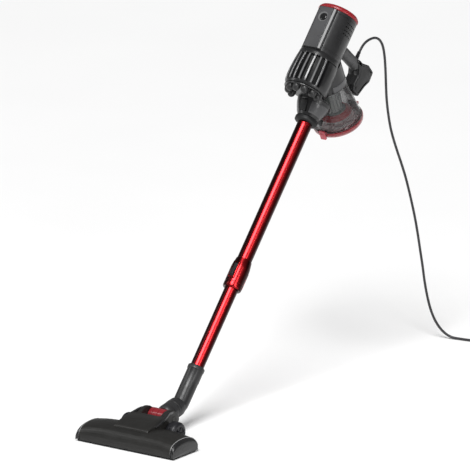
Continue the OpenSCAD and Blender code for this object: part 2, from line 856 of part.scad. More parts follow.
// The catch on the cup's front that holds the lid shut
module lid_latch() {
  color("#c2414b") on_cup() {
    translate([-7.8, latch_y - 3.6, -3]) cube([15.6, 5, 21]);
    translate([-7, latch_y - 3.6, -5]) cube([14, 7, 3]);
    translate([0, latch_y, latch_z]) rod_x(1.5, 23);
  }
}

// The button that frees the cup, on a bracket under the neck
module cup_release_button() {
  color(black) on_wand() translate([-6.6, 44.6, button_low]) cube([13.2, 10.4, 6.4]);
}

// The core that hangs in the cup from the collar
module filter_core() {
  color("#7d8580") on_cup() rotate_extrude() polygon([
    [0, 30], [25, 30], [26, 32], [26, 35], [20, 38], [24, mouth_top - 2],
    [27, mouth_top], [27, mouth_z + 8 + gap], [18, mouth_z + 8 + gap], [18, 33], [0, 33]
  ]);
}

// The red skirt that keeps the dust down
module core_skirt() {
  color(red) on_cup() rotate_extrude() polygon([
    [26.05, 31.5], [27.5, 31.5], [37, 24], [38.4, 25.4], [29, 34.8], [26.05, 34.8]
  ]);
}

// ---------- Handle ----------

grip_r = 13.5;
grip_z = 196;
block_half = 17;

// The D-shaped handle's outer form, drawn in by a margin
module handle_form(margin) {
  on_wand() {
    translate([0, -8, grip_z]) rotate([-90, 0, 0]) cylinder(r = grip_r - margin, h = 112 - margin);
    translate([0, 0, 168]) rotate([-108.9, 0, 0])
      cylinder(r = 7.6 - margin, h = 51);
    translate([0, 48.2, 151.5]) rotate([-104, 0, 0]) cylinder(r = 7.6 - margin, h = 56);
    translate([0, 48.2, 151.5]) sphere(r = 8.1 - margin);
    rotate([90, 0, 90]) linear_extrude(2 * (block_half - margin), center = true)
      offset_block(margin);
  }
}

// The foot block's side outline, (Y, Z) in the wand's frame
module offset_block(margin) {
  polygon([
    [71 + margin, 200], [71 + margin, 206 - margin], [91, 206 - margin], [115, 214 - margin],
    [141 - margin, 210 - margin], [143 - margin, 184], [133 - margin, 165],
    [124 - margin, 136 + margin], [98 + margin, 137 + margin], [92 + margin, 150],
    [94 + margin, 176], [88 + margin, 186]
  ]);
}

// Places of the screws that draw the two halves together
module handle_screw_places() {
  for (place = [[20, 196], [104, 152], [128, 200], [130, 174]]) {
    on_wand() translate([0, place[0], place[1]]) children();
  }
}

module handle_shell() {
  difference() {
    union() {
      difference() {
        handle_form(0);
        handle_form(2.6);
      }
      intersection() {
        handle_screw_places() rod_x(4, 60);
        handle_form(1);
      }
    }
    handle_screw_places() rod_x(1.6, 60);
    handle_screw_places() translate([12, 0, 0]) rotate([0, 90, 0]) cylinder(r = 3.2, h = 10);
    on_barrel() cylinder(r = barrel_r + 0.05, h = far);
    on_cup() translate([0, 0, mouth_z + gap]) cylinder(r = 45.1, h = 60);
    on_barrel() translate([0, 0, 0]) cylinder(r = cover_r + 1.8, h = ribs_high);
    on_wand() translate([0, 80, 200]) cylinder(r = 6, h = 20);
  }
}

module handle_left() {
  color(mid_grey) difference() {
    handle_shell();
    translate([0, -far, 0]) cube([far, 4 * far, 4 * far]);
  }
}

module handle_right() {
  color(mid_grey) difference() {
    handle_shell();
    translate([-far, -far, 0]) cube([far, 4 * far, 4 * far]);
  }
}

module handle_screws() {
  color(steel) handle_screw_places() {
    translate([12, 0, 0]) rotate([0, 90, 0]) cylinder(r = 3, h = 1.4);
    translate([-10, 0, 0]) rotate([0, 90, 0]) cylinder(r = 1.5, h = 22);
  }
}

// ---------- Cord ----------

// The tapered strain relief where the cord leaves the handle's foot block
module cord_gland() {
  color(black) on_wand() translate([0, 80, 203.6]) {
    cylinder(r1 = 5.9, r2 = 4, h = 24.4);
  }
}

// Route of the cord from the strain relief to the coil, chosen by eye as it hangs
cord_route = [
  [0, 870, 738], [0, 884, 751], [0, 898, 758], [0, 915, 761], [0, 933, 760], [0, 949, 753],
  [0, 961, 740], [0, 968, 724], [0, 973, 700], [0, 976, 670], [0, 978, 635], [0, 981, 600],
  [1, 986, 565], [2, 994, 530], [3, 1006, 497], [4, 1020, 465], [6, 1034, 432], [8, 1047, 398],
  [10, 1058, 363], [13, 1067, 327], [16, 1075, 290], [19, 1081, 253], [22, 1086, 216],
  [25, 1091, 179], [28, 1095, 142], [32, 1100, 106], [37, 1107, 72], [45, 1116, 42],
  [58, 1125, 19], [76, 1132, 6], [98, 1137, 3.5], [122, 1141, 3.5], [145, 1148, 3.5],
  [162, 1159, 3.5], [172, 1175, 3.5]
];
cord_sides = 8;

// A point on the smooth curve through the route, t from 0 to 1 along span i
function curve_point(p, i, t) =
  let (a = p[max(i - 1, 0)], b = p[i], c = p[i + 1], d = p[min(i + 2, len(p) - 1)])
  0.5 * (2 * b + (c - a) * t + (2 * a - 5 * b + 4 * c - d) * t * t
    + (3 * b - 3 * c + d - a) * t * t * t);

cord_points = [
  for (i = [0:len(cord_route) - 2]) for (t = [0, 0.5]) curve_point(cord_route, i, t),
  cord_route[len(cord_route) - 1]
];

function unit(v) = v / norm(v);

// Direction of the curve at point k
function heading(k) =
  unit(cord_points[min(k + 1, len(cord_points) - 1)] - cord_points[max(k - 1, 0)]);

// One ring of the tube, square to the curve
function cord_ring(k) =
  let (along = heading(k), side = unit(cross(along, [1, 0.2, 0.1])), up = cross(side, along))
  [for (n = [0:cord_sides - 1]) cord_points[k] + cord_d / 2 *
    (cos(n * 360 / cord_sides) * side + sin(n * 360 / cord_sides) * up)];

module cord_tube() {
  last = len(cord_points) - 1;
  ends = [
    [for (n = [cord_sides - 1:-1:0]) n],
    [for (n = [0:cord_sides - 1]) last * cord_sides + n]
  ];
  walls = [
    for (k = [0:last - 1]) for (n = [0:cord_sides - 1])
      [k * cord_sides + n, k * cord_sides + (n + 1) % cord_sides,
       (k + 1) * cord_sides + (n + 1) % cord_sides, (k + 1) * cord_sides + n]
  ];
  color(black) polyhedron(
    points = [for (k = [0:last]) each cord_ring(k)], faces = concat(ends, walls), convexity = 6);
}

// The stowed length lies as a round coil on the floor
coil_x = 225;
coil_y = 1170;
coil_mean_r = 42;
coil_turns = coiled_length_m * 1000 / (2 * PI * coil_mean_r);
bundle = cord_d * sqrt(coil_turns) + 1;

module cord_coil() {
  half = bundle / 2;
  color(black) translate([coil_x, coil_y, 0.5]) rotate_extrude() polygon([
    [coil_mean_r - half + 3, 0], [coil_mean_r + half - 3, 0], [coil_mean_r + half, 3],
    [coil_mean_r + half, bundle - 4], [coil_mean_r + half - 4, bundle],
    [coil_mean_r - half + 4, bundle], [coil_mean_r - half, bundle - 4],
    [coil_mean_r - half, 3]
  ]);
}

plug_x = coil_x + coil_mean_r + bundle / 2 + 2;
plug_y = coil_y - 8;
plug_z = 14;
plug_face = 58;

// The plug lies beside the coil with its pins towards the front
module plug_body() {
  color(black) translate([plug_x, plug_y, plug_z]) rotate([90, 0, 0]) difference() {
    union() {
      cylinder(r1 = 3.4, r2 = 6.4, h = 30);
      translate([0, 0, 28]) cylinder(r1 = 9, r2 = 13.4, h = 14);
      translate([0, 0, 42]) cylinder(r = 13.4, h = plug_face - 42);
      translate([-17, -10, plug_face - 8]) cube([34, 20, 8]);
    }
    pin_places() translate([0, 0, plug_face - 8]) cylinder(r = 1.9, h = 10);
  }
}

// Places of the plug's two pins, in the plug's own frame
module pin_places() {
  for (side = [-9.5, 9.5]) translate([side, 0, 0]) children();
}

module plug_pins() {
  color(steel) translate([plug_x, plug_y, plug_z]) rotate([90, 0, 0]) pin_places() {
    translate([0, 0, plug_face - 8]) cylinder(r = 1.9, h = 8);
    translate([0, 0, plug_face]) cylinder(r = 2.4, h = 19);
  }
}

head_shell();
head_fairing();
head_end_caps();
head_sole();
brush_strips();
sole_screws();
wheel_left();
wheel_right();
wheel_axles();
barrel_pins();
pivot_barrel();
swivel_stub();
neck_elbow();
head_release_button();
inner_tube();
tube_stop();
outer_tube();
tube_clamp();
guide_sleeve();
tube_latch();
neck_ring();
inlet_neck();
neck_panels();
wand_release_button();
mid_frame();
inlet_duct();
cyclone_cones();
cyclone_can();
cyclone_cover();
side_covers();
motor_housing();
deck_panel();
power_button();
switch_body();
motor_can();
motor_mounts();
motor_rotor();
impeller();
lock_ring();
exhaust_cap();
exhaust_filter();
cup_collar();
saddle_panels();
filter_core();
core_skirt();
handle_left();
handle_right();
handle_screws();
dust_cup();
cup_seal();
cup_lid();
lid_seal();
lid_hinge_pin();
lid_latch();
cup_release_button();
cord_gland();
cord_tube();
cord_coil();
plug_body();
plug_pins();
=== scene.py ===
import json
import math

import bmesh
import bpy
from mathutils import Matrix, Vector


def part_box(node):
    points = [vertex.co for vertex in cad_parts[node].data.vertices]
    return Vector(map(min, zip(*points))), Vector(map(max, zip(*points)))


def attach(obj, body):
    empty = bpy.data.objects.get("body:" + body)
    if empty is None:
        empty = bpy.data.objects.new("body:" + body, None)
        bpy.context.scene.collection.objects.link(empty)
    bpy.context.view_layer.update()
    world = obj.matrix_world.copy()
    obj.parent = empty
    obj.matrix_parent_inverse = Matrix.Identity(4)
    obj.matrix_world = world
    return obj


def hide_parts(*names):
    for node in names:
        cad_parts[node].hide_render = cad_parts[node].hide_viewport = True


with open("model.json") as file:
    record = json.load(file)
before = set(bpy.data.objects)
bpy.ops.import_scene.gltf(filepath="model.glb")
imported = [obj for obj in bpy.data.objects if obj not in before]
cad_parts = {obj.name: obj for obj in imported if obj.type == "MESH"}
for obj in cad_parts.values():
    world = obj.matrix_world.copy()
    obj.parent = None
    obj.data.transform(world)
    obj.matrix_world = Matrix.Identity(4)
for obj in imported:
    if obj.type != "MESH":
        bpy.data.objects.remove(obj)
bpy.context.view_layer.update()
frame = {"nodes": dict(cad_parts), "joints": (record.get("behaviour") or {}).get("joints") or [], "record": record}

# ---------------------------------------------------------------- places, from the frame's joints

MM = 0.001
JOINT = {joint["name"]: joint for joint in frame["joints"]}


def joint_axis(name):
    return Vector(JOINT[name]["axis"]).normalized()


def joint_place(name):
    return Vector(JOINT[name]["pos_m"])


def axes_matrix(origin, up):
    """A frame in millimetres: +Z along up, X as the row's X."""
    x = Vector((1, 0, 0))
    z = up.normalized()
    y = z.cross(x)
    turn = Matrix((x, y, z)).transposed().to_4x4()
    return Matrix.Translation(origin) @ turn @ Matrix.Scale(MM, 4)


BARREL_OFFSET = 52.6
FAN_HEIGHT = 160.0
wand_up = -joint_axis("wand_pull_out")
BARREL = axes_matrix(joint_place("fan_spin") - wand_up * FAN_HEIGHT * MM, wand_up)
WAND = BARREL @ Matrix.Translation((0, BARREL_OFFSET, 0))

HINGE_Y, HINGE_Z = 65.0, 8.0
cup_up = -joint_axis("cup_pull_off")
CUP = axes_matrix(joint_place("lid_open"), cup_up) @ Matrix.Translation((0, -HINGE_Y, -HINGE_Z))

PIVOT = joint_place("head_pitch")
LOWER_NECK = axes_matrix(PIVOT, joint_axis("neck_roll"))
ROW = Matrix.Scale(MM, 4)
NECK_REACH = 75.0
WAND_RUN = 649.0
SLEEVE = 98.0

# ---------------------------------------------------------------- mesh helpers, lengths in mm


def finish_mesh(name, mesh, place, material, body, nodes=(), sharp=32.0):
    """Places a mesh made in mm, smooths it and gives it its material and body."""
    mesh.transform(place)
    mesh.validate()
    for face in mesh.polygons:
        face.use_smooth = True
    mesh.set_sharp_from_angle(angle=math.radians(sharp))
    piece = bpy.data.objects.new(name, mesh)
    bpy.context.scene.collection.objects.link(piece)
    mesh.materials.append(material)
    if body:
        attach(piece, body)
        if nodes:
            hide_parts(*nodes)
    return piece


def to_mesh(name, verts, faces):
    mesh = bpy.data.meshes.new(name)
    mesh.from_pydata([tuple(v) for v in verts], [], faces)
    work = bmesh.new()
    work.from_mesh(mesh)
    bmesh.ops.remove_doubles(work, verts=work.verts, dist=1e-4)
    bmesh.ops.recalc_face_normals(work, faces=work.faces)
    work.to_mesh(mesh)
    work.free()
    return mesh


def joined(name, parts):
    """One mesh from several."""
    work = bmesh.new()
    for part in parts:
        work.from_mesh(part)
    mesh = bpy.data.meshes.new(name)
    work.to_mesh(mesh)
    work.free()
    return mesh


def moved(mesh, matrix):
    mesh.transform(matrix)
    return mesh


def rounded(points, steps=5, closed=True):
    """A polygon of (a, b, radius) corners, each drawn as an arc of that radius."""
    out = []
    count = len(points)
    for i, corner in enumerate(points):
        here = Vector(corner[:2])
        radius = corner[2] if len(corner) > 2 else 0
        ends = not closed and i in (0, count - 1)
        if radius <= 0 or ends:
            out.append(tuple(here))
            continue
        before = Vector(points[i - 1][:2]) - here
        after = Vector(points[(i + 1) % count][:2]) - here
        angle = before.angle(after)
        if angle > math.pi - 0.02 or angle < 0.02:
            out.append(tuple(here))
            continue
        reach = min(radius / math.tan(angle / 2), 0.49 * before.length, 0.49 * after.length)
        start, end = here + before.normalized() * reach, here + after.normalized() * reach
        for k in range(steps + 1):
            t = k / steps
            point = (1 - t) ** 2 * start + 2 * t * (1 - t) * here + t * t * end
            out.append(tuple(point))
    return out


def lathe(profile, segments=96, start=0.0, sweep=360.0):
    """A closed (r, z) profile turned about Z. A part turn gets flat ends."""
    whole = abs(sweep - 360.0) < 1e-6
    turns = segments if whole else segments + 1
    verts, faces = [], []
    size = len(profile)
    for k in range(turns):
        angle = math.radians(start + sweep * k / segments)
        for r, z in profile:
            verts.append((r * math.cos(angle), r * math.sin(angle), z))
    for k in range(segments):
        a, b = k * size, ((k + 1) % turns) * size
        for i in range(size):
            j = (i + 1) % size
            faces.append((a + i, b + i, b + j, a + j))
    if not whole:
        faces.append(tuple(range(size)))
        faces.append(tuple(reversed(range((turns - 1) * size, turns * size))))
    return to_mesh("lathe", verts, faces)


def rod(radius, low, high, segments=64):
    """A plain solid cylinder along Z."""
    return lathe([(0, low), (radius, low), (radius, high), (0, high)], segments)


def prism(outline, low, high, chamfer=0.0, steps=3):
    """An outline in (x, y), closed, raised from low to high with softened rims."""
    count = len(outline)
    levels = []
    for k in range(steps + 1):
        turn = math.pi / 2 * k / steps
        levels.append((chamfer * (1 - math.sin(turn)), low + chamfer * (1 - math.cos(turn))))
    levels += [(inset, high - (z - low)) for inset, z in reversed(levels)]
    if chamfer <= 0:
        levels = [(0, low), (0, high)]
    verts = []
    for inset, z in levels:
        verts += [(p[0], p[1], z) for p in inset_outline(outline, inset)]
    faces = [tuple(reversed(range(count)))]
    for k in range(len(levels) - 1):
        a, b = k * count, (k + 1) * count
        faces += [(a + i, a + (i + 1) % count, b + (i + 1) % count, b + i) for i in range(count)]
    top = (len(levels) - 1) * count
    faces.append(tuple(range(top, top + count)))
    return to_mesh("prism", verts, faces)


def inset_outline(outline, inset):
    """The outline drawn in by inset along its corners' normals."""
    if inset == 0:
        return outline
    count = len(outline)
    area = sum(outline[i][0] * outline[(i + 1) % count][1]
               - outline[(i + 1) % count][0] * outline[i][1] for i in range(count))
    sign = 1 if area > 0 else -1
    out = []
    for i in range(count):
        before, here, after = (Vector(outline[(i + k) % count][:2]) for k in (-1, 0, 1))
        along = (after - before).normalized()
        normal = Vector((-along.y, along.x)) * sign
        out.append(tuple(here + normal * inset))
    return out


def loft(rings):
    """Rings of equal count, skinned in order."""
    size = len(rings[0])
    verts = [p for ring in rings for p in ring]
    faces = []
    for k in range(len(rings) - 1):
        a, b = k * size, (k + 1) * size
        faces += [(a + i, a + (i + 1) % size, b + (i + 1) % size, b + i) for i in range(size)]
    faces.append(tuple(reversed(range(size))))
    last = (len(rings) - 1) * size
    faces.append(tuple(range(last, last + size)))
    return to_mesh("loft", verts, faces)


def smooth_curve(points, steps):
    """Points on a smooth curve through the given ones."""
    pts = [Vector(p) for p in points]
    out = []
    for i in range(len(pts) - 1):
        a, b = pts[max(i - 1, 0)], pts[i]
        c, d = pts[i + 1], pts[min(i + 2, len(pts) - 1)]
        for k in range(steps):
            t = k / steps
            out.append(0.5 * (2 * b + (c - a) * t + (2 * a - 5 * b + 4 * c - d) * t * t
                              + (3 * b - 3 * c + d - a) * t ** 3))
    return out + [pts[-1]]


def sweep(path, outline_at, across=(1, 0, 0)):
    """Skins outline_at(k, t), a list of (side, up) points, along a path."""
    rings = []
    last = len(path) - 1
    for k, point in enumerate(path):
        along = (path[min(k + 1, last)] - path[max(k - 1, 0)]).normalized()
        side = (Vector(across) - along * along.dot(Vector(across))).normalized()
        up = along.cross(side)
        rings.append([point + side * a + up * b for a, b in outline_at(k, k / last)])
    return loft(rings)


def circle(radius, count=32):
    return [(radius * math.cos(2 * math.pi * i / count), radius * math.sin(2 * math.pi * i / count))
            for i in range(count)]


def oval(wide, tall, power=2.6, count=32):
    """A superellipse: rounder than a box, squarer than an ellipse."""
    out = []
    for i in range(count):
        angle = 2 * math.pi * i / count
        c, s = math.cos(angle), math.sin(angle)
        out.append((wide * math.copysign(abs(c) ** (2 / power), c),
                    tall * math.copysign(abs(s) ** (2 / power), s)))
    return out


def block(x, y, z, radius=1.0):
    """A box from ranges (low, high), with soft edges."""
    outline = rounded([(x[0], y[0], radius), (x[1], y[0], radius), (x[1], y[1], radius),
                       (x[0], y[1], radius)], 4)
    return prism(outline, z[0], z[1], min(0.6 * radius, (z[1] - z[0]) / 2.5))


def cut(target, *cutters):
    """The target mesh less the cutters, all in the same millimetre frame."""
    holder = bpy.data.objects.new("cut_target", target)
    bpy.context.scene.collection.objects.link(holder)
    tools = []
    for cutter in cutters:
        tool = bpy.data.objects.new("cut_tool", cutter)
        bpy.context.scene.collection.objects.link(tool)
        tools.append(tool)
        step = holder.modifiers.new("cut", "BOOLEAN")
        step.operation = "DIFFERENCE"
        step.solver = "EXACT"
        step.object = tool
    bpy.context.view_layer.update()
    seen = holder.evaluated_get(bpy.context.evaluated_depsgraph_get())
    mesh = bpy.data.meshes.new_from_object(seen)
    for thing in [holder, *tools]:
        bpy.data.objects.remove(thing)
    return mesh


def turn(degrees, axis="Z"):
    return Matrix.Rotation(math.radians(degrees), 4, axis)


def shift(x, y, z):
    return Matrix.Translation((x, y, z))


def mirrored(mesh):
    """The mesh on the other side of the middle plane."""
    other = mesh.copy()
    other.transform(Matrix.Scale(-1, 4, (1, 0, 0)))
    other.flip_normals()
    return other


def both(mesh):
    return joined("both", [mesh, mirrored(mesh)])

# ---------------------------------------------------------------- materials


class Nodes:
    """A material's node tree, with short calls to add nodes."""

    def __init__(self, name):
        self.material = bpy.data.materials.new(name)
        self.material.use_nodes = True
        self.tree = self.material.node_tree
        self.shader = self.tree.nodes["Principled BSDF"]
        self.where = self.add("ShaderNodeTexCoord").outputs["Object"]

    def add(self, kind, **values):
        node = self.tree.nodes.new(kind)
        for key, value in values.items():
            setattr(node, key, value)
        return node

    def link(self, out, into):
        self.tree.links.new(out, into)

    def into(self, name, out):
        self.link(out, self.shader.inputs[name])

    def fix(self, **values):
        for key, value in values.items():
            self.shader.inputs[key.replace("_", " ").title().replace("Ior", "IOR")].default_value = value

    def noise(self, scale, detail=3.0, rough=0.55):
        node = self.add("ShaderNodeTexNoise")
        node.inputs["Scale"].default_value = scale
        node.inputs["Detail"].default_value = detail
        node.inputs["Roughness"].default_value = rough
        self.link(self.where, node.inputs["Vector"])
        return node.outputs["Fac"]

    def between(self, value, low, high, start=0.35, end=0.65):
        node = self.add("ShaderNodeMapRange")
        node.inputs["From Min"].default_value = start
        node.inputs["From Max"].default_value = end
        node.inputs["To Min"].default_value = low
        node.inputs["To Max"].default_value = high
        self.link(value, node.inputs["Value"])
        return node.outputs["Result"]

    def colours(self, value, stops):
        node = self.add("ShaderNodeValToRGB")
        ramp = node.color_ramp
        while len(ramp.elements) < len(stops):
            ramp.elements.new(0.5)
        for element, (place, colour) in zip(ramp.elements, stops):
            element.position = place
            element.color = (*colour, 1)
        self.link(value, node.inputs["Fac"])
        return node.outputs["Color"]

    def mixed(self, factor, a, b):
        node = self.add("ShaderNodeMix", data_type="RGBA")
        for value, place in ((factor, 0), (a, 6), (b, 7)):
            if isinstance(value, bpy.types.NodeSocket):
                self.link(value, node.inputs[place])
            else:
                node.inputs[place].default_value = value if place == 0 else (*value, 1)
        return node.outputs[2]

    def bump(self, height, strength, distance, under=None):
        node = self.add("ShaderNodeBump")
        node.inputs["Strength"].default_value = strength
        node.inputs["Distance"].default_value = distance
        self.link(height, node.inputs["Height"])
        if under is not None:
            self.link(under, node.inputs["Normal"])
        return node.outputs["Normal"]


def tint(colour, factor):
    return tuple(min(1.0, c * factor) for c in colour)


def moulded(name, colour, rough=0.35, grain=0.12, coat=0.0, edge_wear_and_highlight=1.8, grain_scale=1500.0):
    """Moulded plastic: faint mottling, spark-eroded grain, and edges painted paler, partly rubbed wear and partly
    a painted highlight.
    """
    n = Nodes(name)
    mottle = n.colours(n.noise(14.0, 4.0), [(0.3, tint(colour, 0.86)), (0.7, tint(colour, 1.14))])
    point = n.add("ShaderNodeNewGeometry").outputs["Pointiness"]
    # painted highlight: convex edges lightened in the base colour, partly wear and partly standing in for edge
    # highlights
    edge = n.between(point, 0.0, 0.55, 0.515, 0.56)
    n.into("Base Color", n.mixed(edge, mottle, tint(colour, edge_wear_and_highlight)))
    n.into("Roughness", n.between(n.noise(40.0, 5.0), rough * 0.85, rough * 1.2))
    fine = n.bump(n.noise(grain_scale, 2.0), grain, 0.0002)
    n.into("Normal", n.bump(n.noise(22.0, 2.0), 0.05, 0.0012, fine))
    n.fix(specular_ior_level=0.38, coat_weight=coat, coat_roughness=0.08)
    return n.material


def lacquered_tube(name, colour, painted_edge_shade):
    """Drawn metal tube under red lacquer, with painted shade: the colour goes near black where the surface turns
    away from view, standing in for dark reflections.
    """
    n = Nodes(name)
    facing = n.add("ShaderNodeLayerWeight")
    facing.inputs["Blend"].default_value = 0.5
    cloud = n.colours(n.noise(9.0, 3.0), [(0.3, tint(colour, 0.9)), (0.7, colour)])
    # painted shade: the base colour darkens towards grazing angles
    edge = n.between(facing.outputs["Facing"], 0.0, 1.0, 0.03, 0.26)
    n.into("Base Color", n.mixed(edge, cloud, painted_edge_shade))
    n.into("Roughness", n.between(n.noise(40.0, 2.0), 0.23, 0.28))
    n.fix(metallic=1.0, coat_weight=0.1, coat_roughness=0.2)
    return n.material


def bare_metal(name, colour, rough):
    n = Nodes(name)
    n.into("Base Color", n.colours(n.noise(60.0, 4.0), [(0.3, tint(colour, 0.8)), (0.7, colour)]))
    n.into("Roughness", n.between(n.noise(900.0, 3.0), rough * 0.8, rough * 1.3))
    n.into("Normal", n.bump(n.noise(1800.0, 2.0), 0.06, 0.0001))
    n.fix(metallic=1.0)
    return n.material


def rubber(name, colour, rough=0.62):
    n = Nodes(name)
    n.into("Base Color", n.colours(n.noise(30.0, 5.0),
                                   [(0.3, tint(colour, 0.75)), (0.7, tint(colour, 1.3))]))
    n.into("Roughness", n.between(n.noise(80.0, 4.0), rough * 0.85, min(1.0, rough * 1.2)))
    n.into("Normal", n.bump(n.noise(1100.0, 3.0), 0.25, 0.0002))
    return n.material


def clear(name, colour, thin, edge, rough=0.06):
    """Clear moulded plastic: nearly see-through face on, denser where it curves away."""
    n = Nodes(name)
    n.into("Base Color", n.colours(n.noise(12.0, 3.0),
                                   [(0.3, tint(colour, 0.94)), (0.7, tint(colour, 1.04))]))
    facing = n.add("ShaderNodeLayerWeight")
    facing.inputs["Blend"].default_value = 0.32
    n.into("Alpha", n.between(facing.outputs["Facing"], thin, edge, 0.1, 0.9))
    n.into("Roughness", n.between(n.noise(70.0, 3.0), rough * 0.8, rough * 1.4))
    n.into("Normal", n.bump(n.noise(35.0, 2.0), 0.04, 0.0006))
    n.fix(specular_ior_level=0.7, coat_weight=0.6, coat_roughness=0.04)
    return n.material


def bristle(name, colour):
    n = Nodes(name)
    n.into("Base Color", n.colours(n.noise(700.0, 2.0),
                                   [(0.35, tint(colour, 0.4)), (0.65, tint(colour, 1.3))]))
    n.into("Normal", n.bump(n.noise(900.0, 2.0), 0.6, 0.0006))
    n.fix(roughness=0.8)
    return n.material


def pleated_felt(name, colour):
    n = Nodes(name)
    n.into("Base Color", n.colours(n.noise(350.0, 6.0, 0.7), [(0.3, tint(colour, 0.8)), (0.7, colour)]))
    n.into("Normal", n.bump(n.noise(1300.0, 4.0), 0.5, 0.0004))
    n.fix(roughness=0.95)
    return n.material


def fine_mesh(name, colour, hole):
    """Perforated metal screen: rows of small dark holes."""
    n = Nodes(name)
    cells = n.add("ShaderNodeTexVoronoi")
    cells.inputs["Scale"].default_value = 420.0
    cells.inputs["Randomness"].default_value = 0.15
    n.link(n.where, cells.inputs["Vector"])
    edge = n.between(cells.outputs["Distance"], 0.0, 1.0, 0.28, 0.36)
    n.into("Base Color", n.mixed(edge, hole, colour))
    n.into("Normal", n.bump(edge, 0.5, 0.0003))
    n.into("Roughness", n.between(n.noise(50.0), 0.35, 0.5))
    n.fix(metallic=0.4)
    return n.material


DARK = moulded("dark_shell", (0.0085, 0.0085, 0.009), 0.32, 0.05, coat=0.22, edge_wear_and_highlight=2.4)
GREY = moulded("grey_shell", (0.012, 0.012, 0.0125), 0.4, 0.1, coat=0.06, edge_wear_and_highlight=2.4)
HEAD = moulded("head_grey", (0.010, 0.0096, 0.0088), 0.42, 0.14, edge_wear_and_highlight=2.4)
PALE = moulded("pale_panel", (0.05, 0.05, 0.052), 0.3, 0.04, coat=0.3, edge_wear_and_highlight=1.6)
# a pale material for thin strips that stand in for edge highlights (painted highlight)
PAINTED_HIGHLIGHT = moulded("painted_highlight_edge", (0.26, 0.26, 0.26), 0.25, 0.03, coat=0.5, edge_wear_and_highlight=1.3)
BLACK = moulded("black_plastic", (0.003, 0.003, 0.0035), 0.55, 0.08)
GLOSS_BLACK = moulded("gloss_black", (0.006, 0.006, 0.0065), 0.22, 0.02, coat=0.35)
# pale enough that the rib strips stand in for the ribs' highlights (painted highlight)
RIB = moulded("rib_satin", (0.12, 0.12, 0.122), 0.3, 0.03, coat=0.4, edge_wear_and_highlight=1.3)
# paler than the grip so the sleeve stands in for the grip's highlight (painted highlight)
SLEEVE_HIGHLIGHT_GREY = moulded("grip_sleeve", (0.07, 0.07, 0.071), 0.42, 0.1)
WHEEL = moulded("wheel_tread", (0.008, 0.008, 0.0105), 0.42, 0.2)
SOFT = rubber("soft_rubber", (0.014, 0.014, 0.015))
CORD = rubber("cord_rubber", (0.018, 0.018, 0.02), 0.5)
# the tube's dark sides are painted shade from its material
TUBE = lacquered_tube("red_tube", (0.5, 0.018, 0.022), (0.028, 0.001, 0.0015))
RED = moulded("red_trim", (0.24, 0.005, 0.01), 0.32, 0.03, coat=0.2, edge_wear_and_highlight=1.5)
CLAMP = moulded("red_clamp", (0.16, 0.005, 0.01), 0.27, 0.04, coat=0.5, edge_wear_and_highlight=1.6)
LATCH = moulded("latch_red", (0.4, 0.05, 0.07), 0.28, 0.04, coat=0.4, edge_wear_and_highlight=1.4)
CLEAR = clear("clear_cup", (0.035, 0.035, 0.037), 0.26, 0.85)
RED_CLEAR = clear("red_lid", (0.3, 0.012, 0.022), 0.55, 0.92)
CORE = moulded("core_grey", (0.085, 0.095, 0.09), 0.45, 0.05)
SCREEN = fine_mesh("core_screen", (0.32, 0.34, 0.33), (0.05, 0.05, 0.05))
STEEL = bare_metal("bare_steel", (0.55, 0.55, 0.57), 0.28)
FELT = pleated_felt("filter_felt", (0.72, 0.71, 0.68))
BRISTLE = bristle("brush_fibre", (0.16, 0.02, 0.025))

# ---------------------------------------------------------------- camera

CAMERA_TURN = math.radians(36.0)
CAMERA_RISE = math.radians(16.0)
SEEN_WIDTH = 1.0787
LENS = 1400.0
target = Vector((0, 0.3827, 0.4133))
camera_data = bpy.data.cameras.new("camera")
camera_data.lens = LENS
camera_data.sensor_width = 36.0
camera_data.clip_end = 200.0
camera = bpy.data.objects.new("camera", camera_data)
bpy.context.scene.collection.objects.link(camera)
towards_camera = Vector((math.sin(CAMERA_TURN) * math.cos(CAMERA_RISE),
                         -math.cos(CAMERA_TURN) * math.cos(CAMERA_RISE), math.sin(CAMERA_RISE)))
camera.location = target + towards_camera * SEEN_WIDTH * LENS / camera_data.sensor_width
camera.rotation_euler = towards_camera.to_track_quat("Z", "Y").to_euler()
bpy.context.scene.camera = camera

# ---------------------------------------------------------------- cord

CORD_D = 6.0
CORD_ROUTE = [
    (0, 870, 738), (0, 884, 751), (0, 898, 758), (0, 915, 761), (0, 933, 760), (0, 949, 753),
    (0, 961, 740), (0, 968, 724), (0, 973, 700), (0, 976, 670), (0, 978, 635), (0, 981, 600),
    (1, 986, 565), (2, 994, 530), (3, 1006, 497), (4, 1020, 465), (6, 1034, 432), (8, 1047, 398),
    (10, 1058, 363), (13, 1067, 327), (16, 1075, 290), (19, 1081, 253), (22, 1086, 216),
    (25, 1091, 179), (28, 1095, 142), (32, 1100, 106), (37, 1107, 72), (45, 1116, 42),
    (58, 1125, 19), (76, 1132, 6), (98, 1137, 3.5), (122, 1141, 3.5), (145, 1148, 3.5),
    (162, 1159, 3.5), (172, 1175, 3.5),
]
coil_low, coil_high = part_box("cord_coil")
COIL = ((coil_low + coil_high) / 2) / MM

COIL_LAYERS = 4
COIL_OUTER, COIL_INNER, COIL_LEAVES = 53.0, 30.0, 55.6
COIL_TURNS = 15.5
STEPS_A_TURN = 28
LAST_TURN = 0.32
TAIL = Vector((COIL.x + COIL_LEAVES, COIL.y - 8, 14))


def ease(t):
    t = max(0.0, min(1.0, t))
    return t * t * (3 - 2 * t)


